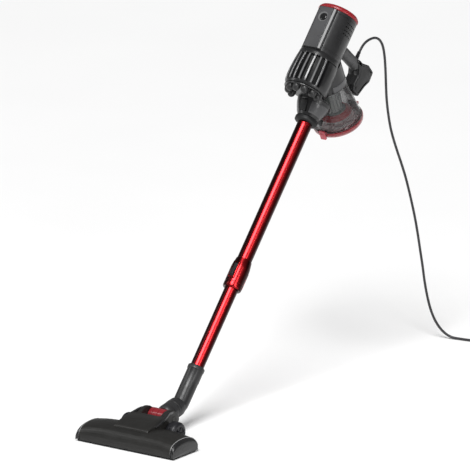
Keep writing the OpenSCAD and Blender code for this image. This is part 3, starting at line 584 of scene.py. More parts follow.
def coil_point(turns):
    """The cord's middle after so many turns, wound clockwise in flat layers from the -X side."""
    a_layer = COIL_TURNS / COIL_LAYERS
    layer = min(int(turns / a_layer), COIL_LAYERS - 1)
    along = turns / a_layer - layer
    radius = COIL_OUTER + (COIL_INNER - COIL_OUTER) * (along if layer % 2 == 0 else 1 - along)
    rise = ease((along - 0.92) / 0.08) if layer < COIL_LAYERS - 1 else 0
    height = CORD_D / 2 + 0.5 + CORD_D * (layer + rise)
    leaving = ease(1 - (COIL_TURNS - turns) / LAST_TURN)
    radius += (COIL_LEAVES - radius) * leaving
    height += (TAIL.z - height) * leaving
    angle = math.pi - 2 * math.pi * turns
    return Vector((COIL.x + radius * math.cos(angle), COIL.y + radius * math.sin(angle), height))


def cord_line():
    hanging = smooth_curve(CORD_ROUTE, 6)
    first = 5
    coil = [coil_point(k / STEPS_A_TURN) for k in range(first, int(COIL_TURNS * STEPS_A_TURN) + 1)]
    joining = smooth_curve([hanging[-8], hanging[-1], coil[0], coil[6]], 5)[5:10]
    return hanging[:-1] + joining + coil + [TAIL]


def curve_piece(name, points, thickness, material, body, nodes=()):
    curve = bpy.data.curves.new(name, "CURVE")
    curve.dimensions = "3D"
    spline = curve.splines.new("POLY")
    spline.points.add(len(points) - 1)
    for point, place in zip(spline.points, points):
        point.co = (*(place * MM), 1)
    curve.bevel_depth = thickness / 2 * MM
    curve.bevel_resolution = 5
    curve.use_fill_caps = True
    curve.materials.append(material)
    piece = bpy.data.objects.new(name, curve)
    bpy.context.scene.collection.objects.link(piece)
    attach(piece, body)
    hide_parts(*nodes)
    return piece


def ribbed_cone(length, thick, thin, hole, ribs):
    """A strain relief: a tapering sleeve cut by ring grooves."""
    profile = [(hole, 0), (thick, 0)]
    pitch = length / ribs
    for k in range(1, ribs):
        radius = thick + (thin - thick) * k / ribs
        z = k * pitch
        profile += [(radius, z - pitch * 0.35), (radius - 0.9, z - pitch * 0.2),
                    (radius - 0.9, z + pitch * 0.1), (radius, z + pitch * 0.25)]
    return lathe(profile + [(thin, length), (hole, length)], 48)


def plug_shape():
    """The moulded plug: a ribbed tail, a waisted grip and a broad face plate, along +Z."""
    tail = ribbed_cone(30, 3.6, 6.4, 2.6, 6)
    rings = []
    for z, wide, tall in ((27, 6.6, 6.2), (29, 8.6, 8), (34, 10.4, 9.6), (40, 12.4, 11.4),
                          (45, 12.6, 11.2), (49, 12.2, 10), (50.5, 16.2, 9.6), (51.5, 17, 10),
                          (57, 17, 10), (58, 16.2, 9.2)):
        rings.append([(a, b, z) for a, b in oval(wide, tall, 3.0, 48)])
    grip = loft(rings)
    ridges = [lathe([(12.3, z), (13.2, z + 0.6), (13.2, z + 1.4), (12.3, z + 2)], 48)
              for z in (38, 41.4, 44.8)]
    return joined("plug", [tail, grip, *ridges])


cord_piece = curve_piece("power_cord", cord_line(), CORD_D, CORD, "main_unit",
                         ["cord_tube", "cord_coil"])
PLUG = ROW @ Matrix.Translation(TAIL) @ turn(90, "X")
plug_piece = finish_mesh("plug_moulding", plug_shape(), PLUG, BLACK, "main_unit",
                         ["plug_body"])
pin_profile = [(0, 58), (2.4, 58), (2.4, 75.6), (1.9, 76.7), (1.1, 77), (0, 77)]
pins_piece = finish_mesh("plug_prongs", joined("pins", [
    moved(lathe(pin_profile, 32), shift(side * 9.5, 0, 0)) for side in (-1, 1)]),
    PLUG, STEEL, "main_unit", ["plug_pins"])
GLAND_Y, GLAND_LOW, GLAND_HIGH = 80.0, 203.6, 228.0
gland_place = WAND @ shift(0, GLAND_Y, GLAND_LOW)
finish_mesh("cord_strain_relief", ribbed_cone(GLAND_HIGH - GLAND_LOW, 5.9, 3.9, 2.6, 6), gland_place,
            BLACK, "main_unit", ["cord_gland"])

# ---------------------------------------------------------------- floor head

HEAD_HALF_W, HEAD_TOP = 138.0, 48.0
CAP_X = 129.0
SOLE_TOP = 5.0
SIDE = [(-47.6, 5, 1.5), (-48, 12, 8), (-47.6, 20, 8), (-46, 27.6, 9), (-42.6, 34, 8), (-37, 39, 8),
        (-29, 43, 9), (-19, 46, 10), (-9, 47.5, 10), (2, 48, 10), (14, 47.4, 10), (26, 45, 9),
        (36, 41, 8), (44, 36, 5), (48, 31, 5), (48, 5, 1.5)]
CREST = [(0, 48), (45, 48), (70, 47.9), (90, 46.6), (108, 44.4), (120, 42.4), (129, 40.6),
         (134, 38.8), (136.8, 35.6), (138, 30.5)]
WHEEL_X, WHEEL_Y, WHEEL_R, WHEEL_T = 64.0, 62.0, 27.0, 27.0
WHEEL_ROOM_START = WHEEL_X - 15.5
AT_PIVOT = shift(0, 95, 46)


def along_x(mesh, start=0.0):
    """Lays a mesh whose length is Z along X, with its X as Y and its Y as Z."""
    mesh.transform(Matrix(((0, 0, 1, start), (1, 0, 0, 0), (0, 1, 0, 0), (0, 0, 0, 1))))
    return mesh


def crest_height(x):
    x = abs(x)
    for (a, low), (b, high) in zip(CREST, CREST[1:]):
        if x <= b:
            return low + (high - low) * (x - a) / (b - a)
    return CREST[-1][1]


def head_ring(x, grow=0.0):
    """The head's side profile at x, lowered to the crest's height there."""
    share = (crest_height(x) - SOLE_TOP) / (HEAD_TOP - SOLE_TOP)
    ring = []
    for y, z in rounded(SIDE, 4):
        height = SOLE_TOP + (z - SOLE_TOP) * share
        pulled = 1 - 0.035 * max(0.0, (abs(x) - 118) / 20) ** 2
        ring.append((x, (y + math.copysign(grow, y) * min(1, abs(y) / 10)) * pulled,
                     height + (grow if z > 6 else 0)))
    return ring


def wheel_room_shape():
    room = along_x(rod(28.6, 0, 31), WHEEL_ROOM_START)
    return moved(room, shift(0, WHEEL_Y, WHEEL_R))


def head_shell_shape():
    inner_bay = along_x(prism(rounded([(33, 1, 2), (33, 22, 9), (41, 33, 9), (60, 38.5, 4),
                                       (60, 1, 2)]), 42.5, 85.5, 2.0))
    slot_x = [-CAP_X + (2 * CAP_X) * k / 60 for k in range(61)]
    shell = loft([head_ring(x) for x in slot_x])
    mouth = block((-118, 118), (-32, -8), (-2, 20), 3)
    room = wheel_room_shape()
    flare = [(0, 0), (28.6, 0), (30, 8), (35, 22), (36, 32), (0, 32)]
    scoop = along_x(lathe(flare, 64), WHEEL_ROOM_START)
    scoop.transform(shift(0, WHEEL_Y, WHEEL_R + 3))
    return cut(shell, inner_bay, mirrored(inner_bay), mouth, room, mirrored(room), scoop, mirrored(scoop))


def head_cap_shape():
    rings = [head_ring(CAP_X + 0.5, -0.4)]
    for k in range(9):
        turn_in = math.sin(math.pi / 2 * k / 8)
        x = CAP_X + 0.9 + (HEAD_HALF_W - CAP_X - 0.9) * turn_in
        rings.append(head_ring(x, -2.4 * (1 - math.cos(math.pi / 2 * k / 8))))
    return loft(rings)


def trim_and_highlight_shape():
    """The thin line round the joint between the shell and an end cap: a pale trim painted bright, partly a painted
    highlight on the joint's edge.
    """
    outer, inner = head_ring(CAP_X, 0.55), head_ring(CAP_X, -1.6)
    levels = ((-0.7, 0.35), (-0.35, 0), (0.35, 0), (0.7, 0.35))
    rings = [[(x + dx, y * (1 - drop / 60), z - drop) for x, y, z in outer] for dx, drop in levels]
    rings = [[(x - 0.7, y, z) for x, y, z in inner], *rings, [(x + 0.7, y, z) for x, y, z in inner]]
    return loft(rings)


def sole_shape():
    plate = block((-135, 135), (-45, 45), (0.3, SOLE_TOP), 2.2)
    mouth = block((-118, 118), (-32, -8), (-2, 8), 3)
    ramps = [block((x - 4, x + 4), (-47, -28), (-1, 3.2), 1) for x in (-96, -48, 0, 48, 96)]
    sole = cut(plate, mouth, *ramps)
    skids = [both(block((x, x + 3), (0, 40), (0, 2.2), 0.9)) for x in (20, 92, 112)]
    prongs = [block((x, x + 5), (36, 68), (0.4, 33), 2) for x in (43.5, 79.5)]
    return joined("sole", [sole, *skids, *[both(prong) for prong in prongs]])


def bristle_rows():
    tuft = lathe([(0, 0), (1.1, 0), (1.5, 6), (0.9, 6), (0, 5)], 10)
    rows = []
    for y in (-37.0, -3.0):
        backing = block((-117, 117), (y - 2.2, y + 2.2), (3, 6.5), 0.8)
        rows.append(backing)
        for k in range(58):
            lean = turn(4 if k % 2 else -5, "X")
            rows.append(moved(tuft.copy(), shift(-114 + 4 * k, y, 6.2) @ turn(180, "X") @ lean))
    return joined("bristles", rows)


def fairing_ring(y, top):
    """The plate's cross-section at y: a flat crown that rounds down at its sides."""
    points = rounded([(-48, 36, 0), (-48, min(57, top - 3), 4), (-46.4, top - 1.2, 4),
                      (-38, top - 0.2, 9), (0, top + 0.2, 60), (38, top - 0.2, 9),
                      (46.4, top - 1.2, 4), (48, min(57, top - 3), 4), (48, 36, 0)], 6, False)
    return [(x, y, z) for x, z in points]


def fairing_plate():
    line = [(-24, 45), (-23.6, 47.4), (-22, 49.4), (-18, 51.4), (-10, 54.6), (0, 58.2), (8, 60.6),
            (18, 62.8), (26, 63.8), (38, 64.4), (48, 64.2), (54, 63.4), (57, 62), (58.4, 60), (59, 57)]
    plate = loft([fairing_ring(y, z) for y, z in line])
    barrel_room = moved(along_x(rod(21.6, 0, 54), -27), AT_PIVOT)
    slot = block((-26, 26), (50, 130), (20, 80), 4)
    wheel_room = wheel_room_shape()
    badge = prism(rounded([(-24, 2, 3), (24, 2, 3), (24, 17, 3), (-24, 17, 3)]), 0, 4, 0.4)
    badge.transform(shift(0, 4, 59.2) @ turn(16, "X"))
    return cut(plate, barrel_room, slot, wheel_room, mirrored(wheel_room), badge)


def fairing_arm():
    outline = rounded([(44, 34, 2), (44, 61.6, 4), (56, 65, 12), (68, 70.4, 12), (80, 72.4, 12),
                       (92, 70, 12), (104, 63, 12), (113, 54, 10), (115, 42, 10), (108, 32, 10),
                       (92, 24, 14), (70, 20, 10), (56, 24, 6)], 6)
    arm = along_x(prism(outline, 27.2, 38, 2.6, 4))
    cap = [(0, 0), (9.5, 0), (9.5, 0.8), (8.6, 1.5), (5, 1.5), (4.4, 0.9), (0, 0.9)]
    boss = moved(along_x(lathe(cap, 48), 37.6), AT_PIVOT)
    return joined("arm", [cut(arm, wheel_room_shape()), boss])


def wing_shape():
    """The swept guard that runs from the plate's corner back over the wheel to the arm."""
    line = smooth_curve([(46.6, 8, 50), (47, 24, 55), (46, 40, 59.5), (43, 56, 63.5),
                         (39, 72, 67), (35.5, 90, 65)], 6)
    return sweep(line, lambda k, t: oval(2.6 + 0.8 * math.sin(math.pi * t), 3.6, 2.8, 20))


def wheel_shape():
    half = WHEEL_T / 2
    profile = [(3.3, -half + 1), (7.5, -half + 0.4), (8, -half + 2.4), (15, -half + 2.8),
               (16.5, -half + 0.6), (20, -half), (22.5, -half + 0.7), (25, -half + 2.6), (26.4, -half + 5),
               (27, -half + 8), (27, -3.4), (26.3, -3), (26.3, 3), (27, 3.4), (27, half - 8),
               (26.4, half - 5), (25, half - 2.6), (22.5, half - 0.7), (20, half), (16.5, half - 0.6),
               (15, half - 2.8), (8, half - 2.4), (7.5, half - 0.4), (3.3, half - 1)]
    spokes = []
    for k in range(6):
        spoke = block((8.4, 15.6), (-1.2, 1.2), (-half + 0.9, half - 0.9), 0.5)
        spokes.append(moved(spoke, turn(60 * k)))
    wheel = joined("wheel", [lathe(profile, 96), *spokes])
    return along_x(wheel)


finish_mesh("head_top_shell", head_shell_shape(), ROW, HEAD, "floor_head",
            ["head_shell"], 40)
caps = both(head_cap_shape())
finish_mesh("head_side_caps", caps, ROW, DARK, "floor_head", ["head_end_caps"])
finish_mesh("head_trim_highlight_lines", both(trim_and_highlight_shape()), ROW, PAINTED_HIGHLIGHT, "floor_head")
finish_mesh("head_base_plate", sole_shape(), ROW, BLACK, "floor_head",
            ["head_sole"])
finish_mesh("head_bristles", bristle_rows(), ROW, BRISTLE, "floor_head",
            ["brush_strips"])
finish_mesh("fairing_cover", joined("fairing", [fairing_plate(), both(fairing_arm())]), ROW,
            HEAD, "floor_head", ["head_fairing"])
finish_mesh("fairing_wings", both(wing_shape()), ROW, DARK, "floor_head")
for side, body in ((-1, "wheel_left"), (1, "wheel_right")):
    finish_mesh(body + "_tyre", wheel_shape(), ROW @ shift(side * WHEEL_X, WHEEL_Y, WHEEL_R + 0.2),
                WHEEL, body, [body])

# ---------------------------------------------------------------- pivot and neck


def barrel_shape():
    half = 26.2
    profile = [(6.4, -half), (18.6, -half), (20, -half + 1.4)]
    for z in (-15, 0, 15):
        profile += [(20, z - 0.9), (19.3, z - 0.5), (19.3, z + 0.5), (20, z + 0.9)]
    profile += [(20, half - 1.4), (18.6, half), (6.4, half)]
    return along_x(lathe(profile, 96))


def stub_shape():
    profile = [(14, 12), (18.6, 12), (21.4, 16), (22.2, 20), (22.2, 26), (21.4, 26.6), (21.4, 28),
               (22.2, 28.6), (22.2, 42.4), (21.2, 43.6), (17.5, 43.6), (17.5, 63.4), (16.9, 64), (14, 64)]
    return cut(lathe(profile, 96), along_x(rod(20.3, 0, 80), -40))


def neck_path():
    start = [LOWER_NECK @ Vector((0, 0, z)) / MM for z in (66, 70, NECK_REACH - 4)]
    high = [WAND @ Vector((0, 0, -s)) / MM for s in (WAND_RUN + SLEEVE - 14, 715, 700, 690)]
    middle = LOWER_NECK @ Vector((0, 0, NECK_REACH)) / MM
    bend = []
    for k in range(1, 10):
        t = k / 10
        bend.append((1 - t) ** 2 * start[-1] + 2 * t * (1 - t) * middle + t * t * high[0])
    return start + bend + high


def elbow_shape():
    pipe = sweep(neck_path(), lambda k, t: circle(19.1, 64))
    collar = lathe([(18.4, 44), (21.8, 44), (22.8, 45), (22.8, 49), (22, 49.6), (22, 50.8),
                    (22.8, 51.4), (22.6, 62), (21.4, 66), (19.6, 68.4), (18, 68.4)], 96)
    collar.transform(LOWER_NECK)
    collar.transform(Matrix.Scale(1 / MM, 4))
    rim = lathe([(16.3, -700), (19, -700), (19, -660), (19.6, -658.6), (20.4, -657.6), (20.4, -650.4),
                 (19.4, -649), (16.3, -649)], 96)
    boss = block((-7, 7), (12, 24.6), (-683, -653), 2)
    well = block((-5.4, 5.4), (17.4, 30), (-680, -656), 1)
    sleeve = joined("sleeve", [rim, cut(boss, well)])
    sleeve.transform(WAND)
    sleeve.transform(Matrix.Scale(1 / MM, 4))
    return joined("elbow", [pipe, collar, sleeve])


finish_mesh("pivot_drum", barrel_shape(), ROW @ Matrix.Translation(PIVOT / MM), CLAMP, "swivel",
            ["pivot_barrel"])
finish_mesh("swivel_pipe", stub_shape(), LOWER_NECK, GREY, "swivel", ["swivel_stub"])
finish_mesh("neck_pipe", elbow_shape(), ROW, GREY, "neck", ["neck_elbow"], 38)
button = joined("button", [block((-4.8, 4.8), (19.4, 27.6), (-679.5, -656.5), 1.8)]
                + [block((-3.4, 3.4), (26.8, 28.3), (s, s + 1.5), 0.5) for s in (-674, -670, -666, -662)])
finish_mesh("neck_thumb_button", button, WAND, BLACK, "head_release",
            ["head_release_button"])

# ---------------------------------------------------------------- wand


def tube(radius, wall, low, high, rings=()):
    """A plain tube along Z with softened ends and shallow rings round it."""
    profile = [(radius - wall, low + 0.3), (radius - 0.5, low), (radius, low + 0.5)]
    for z in rings:
        profile += [(radius, z - 0.8), (radius - 0.4, z - 0.3), (radius - 0.4, z + 0.3), (radius, z + 0.8)]
    profile += [(radius, high - 0.5), (radius - 0.5, high), (radius - wall, high - 0.3)]
    return lathe(profile, 128)


def clamp_shape():
    """The clamp on the outer tube's foot: a collar with a tapered skirt and a flat for the latch."""
    body = lathe([(16.4, -444), (20.6, -444), (22, -442.4), (22.5, -440), (22.5, -432), (21.9, -431.2),
                  (21.9, -429.8), (22.5, -429), (22.5, -392), (22, -386), (20.6, -378), (19.4, -371),
                  (19.1, -369), (18.2, -368), (17.6, -368), (17.6, -430), (16.4, -431)], 128)
    saddle = block((-9.4, 9.4), (-24.4, -14), (-424, -382), 2.4)
    channel = block((-5.6, 5.6), (-30, -19.4), (-421.5, -384.5), 1.2)
    ribs = [moved(block((-0.9, 0.9), (21.4, 23.1), (-436, -396), 0.7), turn(angle))
            for angle in (-60, -45, -30, -15, 0, 15, 30, 45, 60)]
    return joined("clamp", [body, cut(saddle, channel), *ribs])


def latch_shape():
    slider = block((-5.1, 5.1), (-23.8, -19.8), (-420, -386), 1.4)
    thumb = block((-4.6, 4.6), (-27.4, -23), (-417, -401), 1.8)
    teeth = [block((-3.8, 3.8), (-28.3, -26.6), (s, s + 1.3), 0.5) for s in (-415, -411.8, -408.6, -405.4)]
    return joined("latch", [slider, thumb, *teeth])


finish_mesh("lower_wand_tube", tube(16, 1.5, -693.5, -234), WAND, TUBE, "lower_tube",
            ["inner_tube"])
finish_mesh("upper_wand_tube", tube(17.5, 1.5, -430, 44.5, (-12, -8.5)), WAND, TUBE, "upper_tube",
            ["outer_tube"])
finish_mesh("wand_clamp", clamp_shape(), WAND, TUBE, "upper_tube", ["tube_clamp"])
finish_mesh("wand_latch", latch_shape(), WAND, BLACK, "tube_latch",
            ["tube_latch"])

# ---------------------------------------------------------------- hand unit: neck and frame

NECK_LOW, RIBS_LOW = 8.0, 48.0
LOBES = range(-3, 4)
LOBE_STEP, LOBE_REACH = 33, 37


def cup_room(place):
    """The cup's room, for cutting a mesh drawn in the given frame."""
    return moved(lathe([(0, -20), (63.6, -20), (46.4, 115), (0, 115)], 96), place.inverted() @ CUP)


def lobe_place(step):
    """Where a small cyclone stands round the barrel's axis."""
    return turn(step * LOBE_STEP) @ shift(0, -LOBE_REACH, 0)


def neck_radius(s, grow=0.0):
    """The neck cone's radius at height s, slightly bellied."""
    t = (s - NECK_LOW) / (RIBS_LOW - NECK_LOW)
    return 25 + 16 * t + 1.1 * math.sin(math.pi * t) + grow


def neck_patch(low, high, start, sweep_angle, grow, thick, soft=1.2):
    """A curved plate over the neck cone, with softened rims."""
    heights = [low + (high - low) * k / 12 for k in range(13)]
    outer = [(neck_radius(s, grow - (soft if k in (0, 12) else 0)), s) for k, s in enumerate(heights)]
    inner = [(neck_radius(s, grow - thick), s) for s in reversed(heights)]
    return lathe(outer + inner, 40, start, sweep_angle)


def neck_cone_shape():
    profile = [(neck_radius(s, -3), s) for s in range(48, 11, -4)]
    profile += [(neck_radius(8, -3), 8.6), (neck_radius(8), 8)]
    profile += [(neck_radius(s), s) for s in range(10, 47, 3)] + [(41, 48)]
    cone = lathe(profile, 128)
    socket = lathe([(17.8, 8), (20.5, 8), (20.5, 48), (17.8, 48)], 96)
    bracket = block((-10, 10), (22, 49.6), (13, 28.8), 2.4)
    room = block((-7.2, 7.2), (43, 60), (15.4, 23), 1)
    seat = block((-8.2, 8.2), (-60, -18), (14, 40.4), 2)
    return joined("neck", [cut(cone, seat, cup_room(WAND)), cut(socket, seat.copy()), cut(bracket, room)])


def neck_panels_shape():
    # pale glossy panels; their paleness is partly a painted highlight on the neck cone's sides
    right = neck_patch(13, 42, -62, 92, 0.7, 2.6)
    return cut(both(right), cup_room(WAND), block((-12, 12), (-60, 60), (0, 60), 0.5))


def release_band_shape():
    """The wand release: a long curved key with grip lines between the pale panels."""
    key = neck_patch(14.5, 39.5, -102, 24, 2.6, 9, 1.6)
    trimmed = cut(key, block((7.6, 30), (-70, 0), (0, 60), 0.4), block((-30, -7.6), (-70, 0), (0, 60), 0.4))
    lines = [neck_patch(s, s + 1.2, -98, 16, 3.1, 2, 0.3) for s in (24, 27, 30, 33, 36)]
    return joined("key", [trimmed, *lines])


def frame_plate_shape():
    outline = []
    for angle in range(-30, 211, 6):
        turned = math.radians(angle)
        outline.append((40.6 * math.cos(turned), 40.6 * math.sin(turned)))
    for angle in range(190, 351, 6):
        turned = math.radians(angle)
        outline.append((49.6 * math.cos(turned), -BARREL_OFFSET + 49.6 * math.sin(turned)))
    plate = prism(outline, RIBS_LOW, RIBS_LOW + 4, 1.4)
    bores = [rod(17.8, 40, 60)]
    for step in LOBES:
        bores.append(moved(rod(9.7, 40, 60, 40), shift(0, -BARREL_OFFSET, 0) @ lobe_place(step)))
    return cut(plate, *bores, cup_room(WAND))


finish_mesh("wand_socket_ring", lathe([(17.7, -6), (23.6, -6), (24.8, -5.4), (27, -3.4), (27.4, -2.6),
                                       (27.4, 0.2), (26.7, 0.6), (26.7, 1.8), (27.4, 2.2), (27.4, 4.6),
                                       (26.8, 5.6), (25, 7.6), (17.7, 7.6)], 128), WAND, BLACK,
            "main_unit", ["neck_ring"])
finish_mesh("neck_cone", neck_cone_shape(), WAND, DARK, "main_unit", ["inlet_neck"])
finish_mesh("neck_side_panels", neck_panels_shape(), WAND, PALE, "main_unit",
            ["neck_panels"])
finish_mesh("wand_release_key", release_band_shape(), WAND, BLACK, "wand_release",
            ["wand_release_button"])
finish_mesh("frame_plate", frame_plate_shape(), WAND, DARK, "main_unit",
            ["mid_frame"])

# ---------------------------------------------------------------- hand unit: cyclone and cover

RIB_PITCH, RIB_SWEEP, RIB_FOOT_R = 16.2, 6.4, 43.6
RIB_ANGLES = [RIB_PITCH * (k + 0.5) for k in range(-4, 4)]
BAND_ARC, SIDE_ARC = 196, 29.2
COVER = [(44, 52.6), (47.4, 52.6), (49, 53.2), (50.6, 56), (52, 60), (53, 67), (53.4, 76), (53.2, 88),
         (52.6, 100), (51.4, 114), (50.2, 126), (49.4, 134), (48.8, 139.6), (48.2, 140.6), (44, 140.6)]


def cover_radius(s):
    """The cover's outer radius at height s, between its two rims."""
    low = max(i for i in range(len(COVER) - 1) if COVER[i][1] <= s)
    (ra, za), (rb, zb) = COVER[low], COVER[low + 1]
    return ra + (rb - ra) * (s - za) / (zb - za)


def upper_arc(turned, swept):
    """Start angle of an arc centred on the barrel's upper side, turned about its axis."""
    return turned - 90 - swept / 2


def rib_shape(turned):
    """One rib: its outer corners are rounded, and it tapers towards both ends."""
    rings = []
    heights = [57, 58.4, 61, 66, 76, 88, 100, 112, 122, 127, 129.2, 130.4]
    for k, s in enumerate(heights):
        outer = cover_radius(s) + 0.25
        half = math.radians(RIB_SWEEP / 2) * (1.16 if k in (0, 1, 10, 11) else 1.0)
        middle = math.radians(turned - 90)
        ring = []
        for a, b in ((-1, 0), (-1, 0.86), (-0.9, 0.95), (-0.72, 1), (0, 1.012), (0.72, 1), (0.9, 0.95),
                     (1, 0.86), (1, 0)):
            radius = RIB_FOOT_R + (outer - RIB_FOOT_R) * b
            angle = middle + half * a
            ring.append((radius * math.cos(angle), radius * math.sin(angle), s))
        rings.append(ring)
    return loft(rings)


def rib_highlight_shape(turned):
    """A pale satin strip on a rib's outer side, painted bright: a painted highlight."""
    rings = []
    for s in (60, 61, 66, 76, 88, 100, 112, 122, 127, 128):
        outer = cover_radius(s) + (0.2 if s in (60, 128) else 0.62)
        middle = math.radians(turned - 90)
        ring = []
        for a, b in ((-2.0, -0.9), (-1.9, -0.2), (-1.5, 0), (1.5, 0), (1.9, -0.2), (2.0, -0.9)):
            angle = middle + math.radians(a)
            ring.append(((outer + b) * math.cos(angle), (outer + b) * math.sin(angle), s))
        rings.append(ring)
    return loft(rings)


def cover_shape():
    """Two end bands joined by the ribs."""
    low_band = [p for p in COVER if p[1] <= 56] + [(51.2, 58.2), (50.6, 59), (44, 59)]
    high_band = [(44, 128.6), (49.5, 128.6), (50, 129.4)] + [p for p in COVER if p[1] > 130]
    bands = [lathe(band, 120, upper_arc(0, BAND_ARC), BAND_ARC) for band in (low_band, high_band)]
    side = [(44, 56)] + [p for p in COVER if 56 <= p[1] < 131] + [(44, 131)]
    sides = [lathe(side, 30, upper_arc(turned, SIDE_ARC), SIDE_ARC) for turned in (-83.4, 83.4)]
    return joined("cover", [*bands, *sides])


def drum_shape():
    """The dark drum behind the ribs, with a fin behind each slot."""
    drum = lathe([(41, 52.4), (43.3, 52.4), (43.4, 56), (43.4, 136), (43, 138.6), (41, 138.8)], 128)
    fins = [moved(block((43, 44.4), (-0.5, 0.5), (60, 127), 0.3), turn(slot * RIB_PITCH - 90))
            for slot in range(-4, 5)]
    return joined("drum", [drum, *fins])


def cone_shape():
    """A small cyclone: a domed foot and a straight hollow body."""
    profile = [(0.2, 34), (1.8, 34.15), (3.4, 34.6), (5, 35.5), (6.4, 36.7), (7.6, 38.3), (8.5, 40.1),
               (9.1, 42.2), (9.5, 44.6), (9.6, 47), (9.6, 52), (7.8, 52), (7.8, 44.4), (0.2, 37.4)]
    return lathe(profile, 64)


def cones_shape():
    return joined("cones", [moved(cone_shape(), lobe_place(step)) for step in LOBES])


def side_cover_shape():
    profile = [(43.8, 53), (49, 53), (50.4, 55), (51.4, 60), (51.7, 66), (51.7, 100), (51.5, 111),
               (50.6, 122), (49.4, 133), (48.8, 139.4), (48, 140.8), (43.8, 140.8)]
    collar_room = moved(rod(46, 90, 180, 96), BARREL.inverted() @ CUP)
    tube_room = moved(rod(17.9, 0, 100), shift(0, BARREL_OFFSET, 0))
    covers = []
    for start in (8.4, 180 - 68.4):
        covers.append(cut(lathe(profile, 60, start, 60), cup_room(BARREL), collar_room.copy(),
                          tube_room.copy()))
    return joined("covers", covers)


finish_mesh("cyclone_lobes", cones_shape(), BARREL, GREY, "main_unit",
            ["cyclone_cones"], 50)
finish_mesh("cyclone_drum", drum_shape(), BARREL, BLACK, "main_unit",
            ["cyclone_can"])
finish_mesh("ribbed_cover", cover_shape(), BARREL, DARK, "main_unit",
            ["cyclone_cover"], 28)
cover_ribs = joined("ribs", [rib_shape(angle) for angle in RIB_ANGLES])
finish_mesh("cover_ribs", cover_ribs, BARREL, DARK, "main_unit", (), 28)
rib_highlights = joined("rib_highlights", [rib_highlight_shape(angle) for angle in RIB_ANGLES])
finish_mesh("cover_rib_highlights", rib_highlights, BARREL, RIB, "main_unit", (), 28)
finish_mesh("lower_side_covers", side_cover_shape(), BARREL, DARK, "main_unit",
            ["side_covers"])

# ---------------------------------------------------------------- hand unit: motor barrel

HOUSING_LOW, HOUSING_HIGH = 141.2, 248.6
BUTTON_S = 222.0
BUTTON = shift(0, 0, BUTTON_S) @ turn(90, "X")


def vent_cutters():
    slots = []
    for side in (-1, 1):
        for row in range(4):
            for column in range(-2, 3):
                slot = block((40, 56), (-2.2, 2.2), (203 + 9 * row, 206 + 9 * row), 1.2)
                slots.append(moved(slot, turn(side * 90 + 90 + column * 9)))
    return joined("vents", slots)


def housing_shape():
    profile = [(45.2, HOUSING_LOW), (47.2, HOUSING_LOW), (48, 142.2), (48, 150.6), (47.4, 151.1),
               (47.4, 152.1), (48, 152.6), (48, 240.4), (47.5, 240.8), (47.5, 241.6), (48, 242),
               (48, 247.8), (47.4, HOUSING_HIGH), (45.2, HOUSING_HIGH)]
    well = moved(rod(8.6, 34, 60, 48), BUTTON)
    return cut(lathe(profile, 160), vent_cutters(), well)


DECK_EDGE = [(-28, -37.6, 0), (-28, -43, 2.4), (-23.4, -48.6, 1.6), (-20.6, -51.7, 1.4), (18.6, -52, 1),
             (24.8, -47.2, 1), (25, -39.6, 0)]


def deck_shape():
    """The raised deck: a flat top with a step on its left and a chamfer on its right."""
    outline = rounded(DECK_EDGE, 5)
    deck = prism(outline, 142, 247.8, 1.1)
    barrel_cut = rod(47.3, 130, 260, 128)
    well = moved(rod(9.2, 38, 60), BUTTON)
    bezel = moved(lathe([(0, 50.6), (11.2, 50.6), (12.2, 52.4), (12.2, 60), (0, 60)], 64), BUTTON)
    seam = block((-40, 40), (-60, -51.4), (149.5, 150.1), 0.1)
    return cut(deck, barrel_cut, well, bezel, seam)


def deck_highlight_strip():
    """A strip painted bright along the deck's right chamfer: a painted highlight."""
    corners = [(19.9, -51.25), (20.4, -51.3), (23.9, -48.6), (24, -48.1), (23.2, -47.9), (19.8, -50.5)]
    return prism(corners, 143.4, 246.4, 0.25)


def deck_highlight_inlay_shape():
    """A pale satin inlay over the deck's flat top, with a hole for the button and its bezel; its paleness is a
    painted highlight along the deck.
    """
    plate = prism(rounded([(-19, 143.2, 2), (18, 143.2, 2), (18, 246.8, 3), (-19, 246.8, 3)], 6), 0, 0.6, 0.2)
    plate.transform(Matrix(((1, 0, 0, 0), (0, 0, -1, -51.75), (0, 1, 0, 0), (0, 0, 0, 1))))
    return cut(plate, moved(rod(12.7, 40, 60, 72), BUTTON))


def button_shape():
    button = lathe([(0, 40), (3, 40), (3, 49.6), (8.4, 49.6), (8.8, 50), (8.8, 51.9), (8, 52.6),
                    (6.4, 52.9), (3, 52.3), (0, 52.1)], 72)
    return moved(button, turn(90, "X"))


def lock_ring_shape():
    body = lathe([(43.1, 249), (47.6, 249), (48.4, 250), (48.6, 251), (48.6, 254.6), (48, 256.2),
                  (46.8, 258.2), (45.4, 259.5), (44.3, 260), (43.1, 260)], 160)
    grips = [moved(block((47.9, 49.1), (-0.8, 0.8), (250.4, 255.2), 0.5), turn(7.5 * k)) for k in range(48)]
    return joined("ring", [body, *grips])


def cap_shape():
    dome = lathe([(0, 258), (34, 256.4), (38.8, 249.2), (42.1, 249), (42.4, 249.4), (42.5, 257.4),
                  (41.6, 259), (38, 260.4), (34, 261.4), (27, 262.4), (20, 263), (10, 263.4),
                  (0, 263.6)], 128)
    slots = []
    for line in range(-3, 4):
        long = 28 - abs(line) * 3
        slots.append(block((line * 8 - 1.6, line * 8 + 1.6), (-long, long), (250, 270), 1.4))
    return cut(dome, joined("slots", slots))


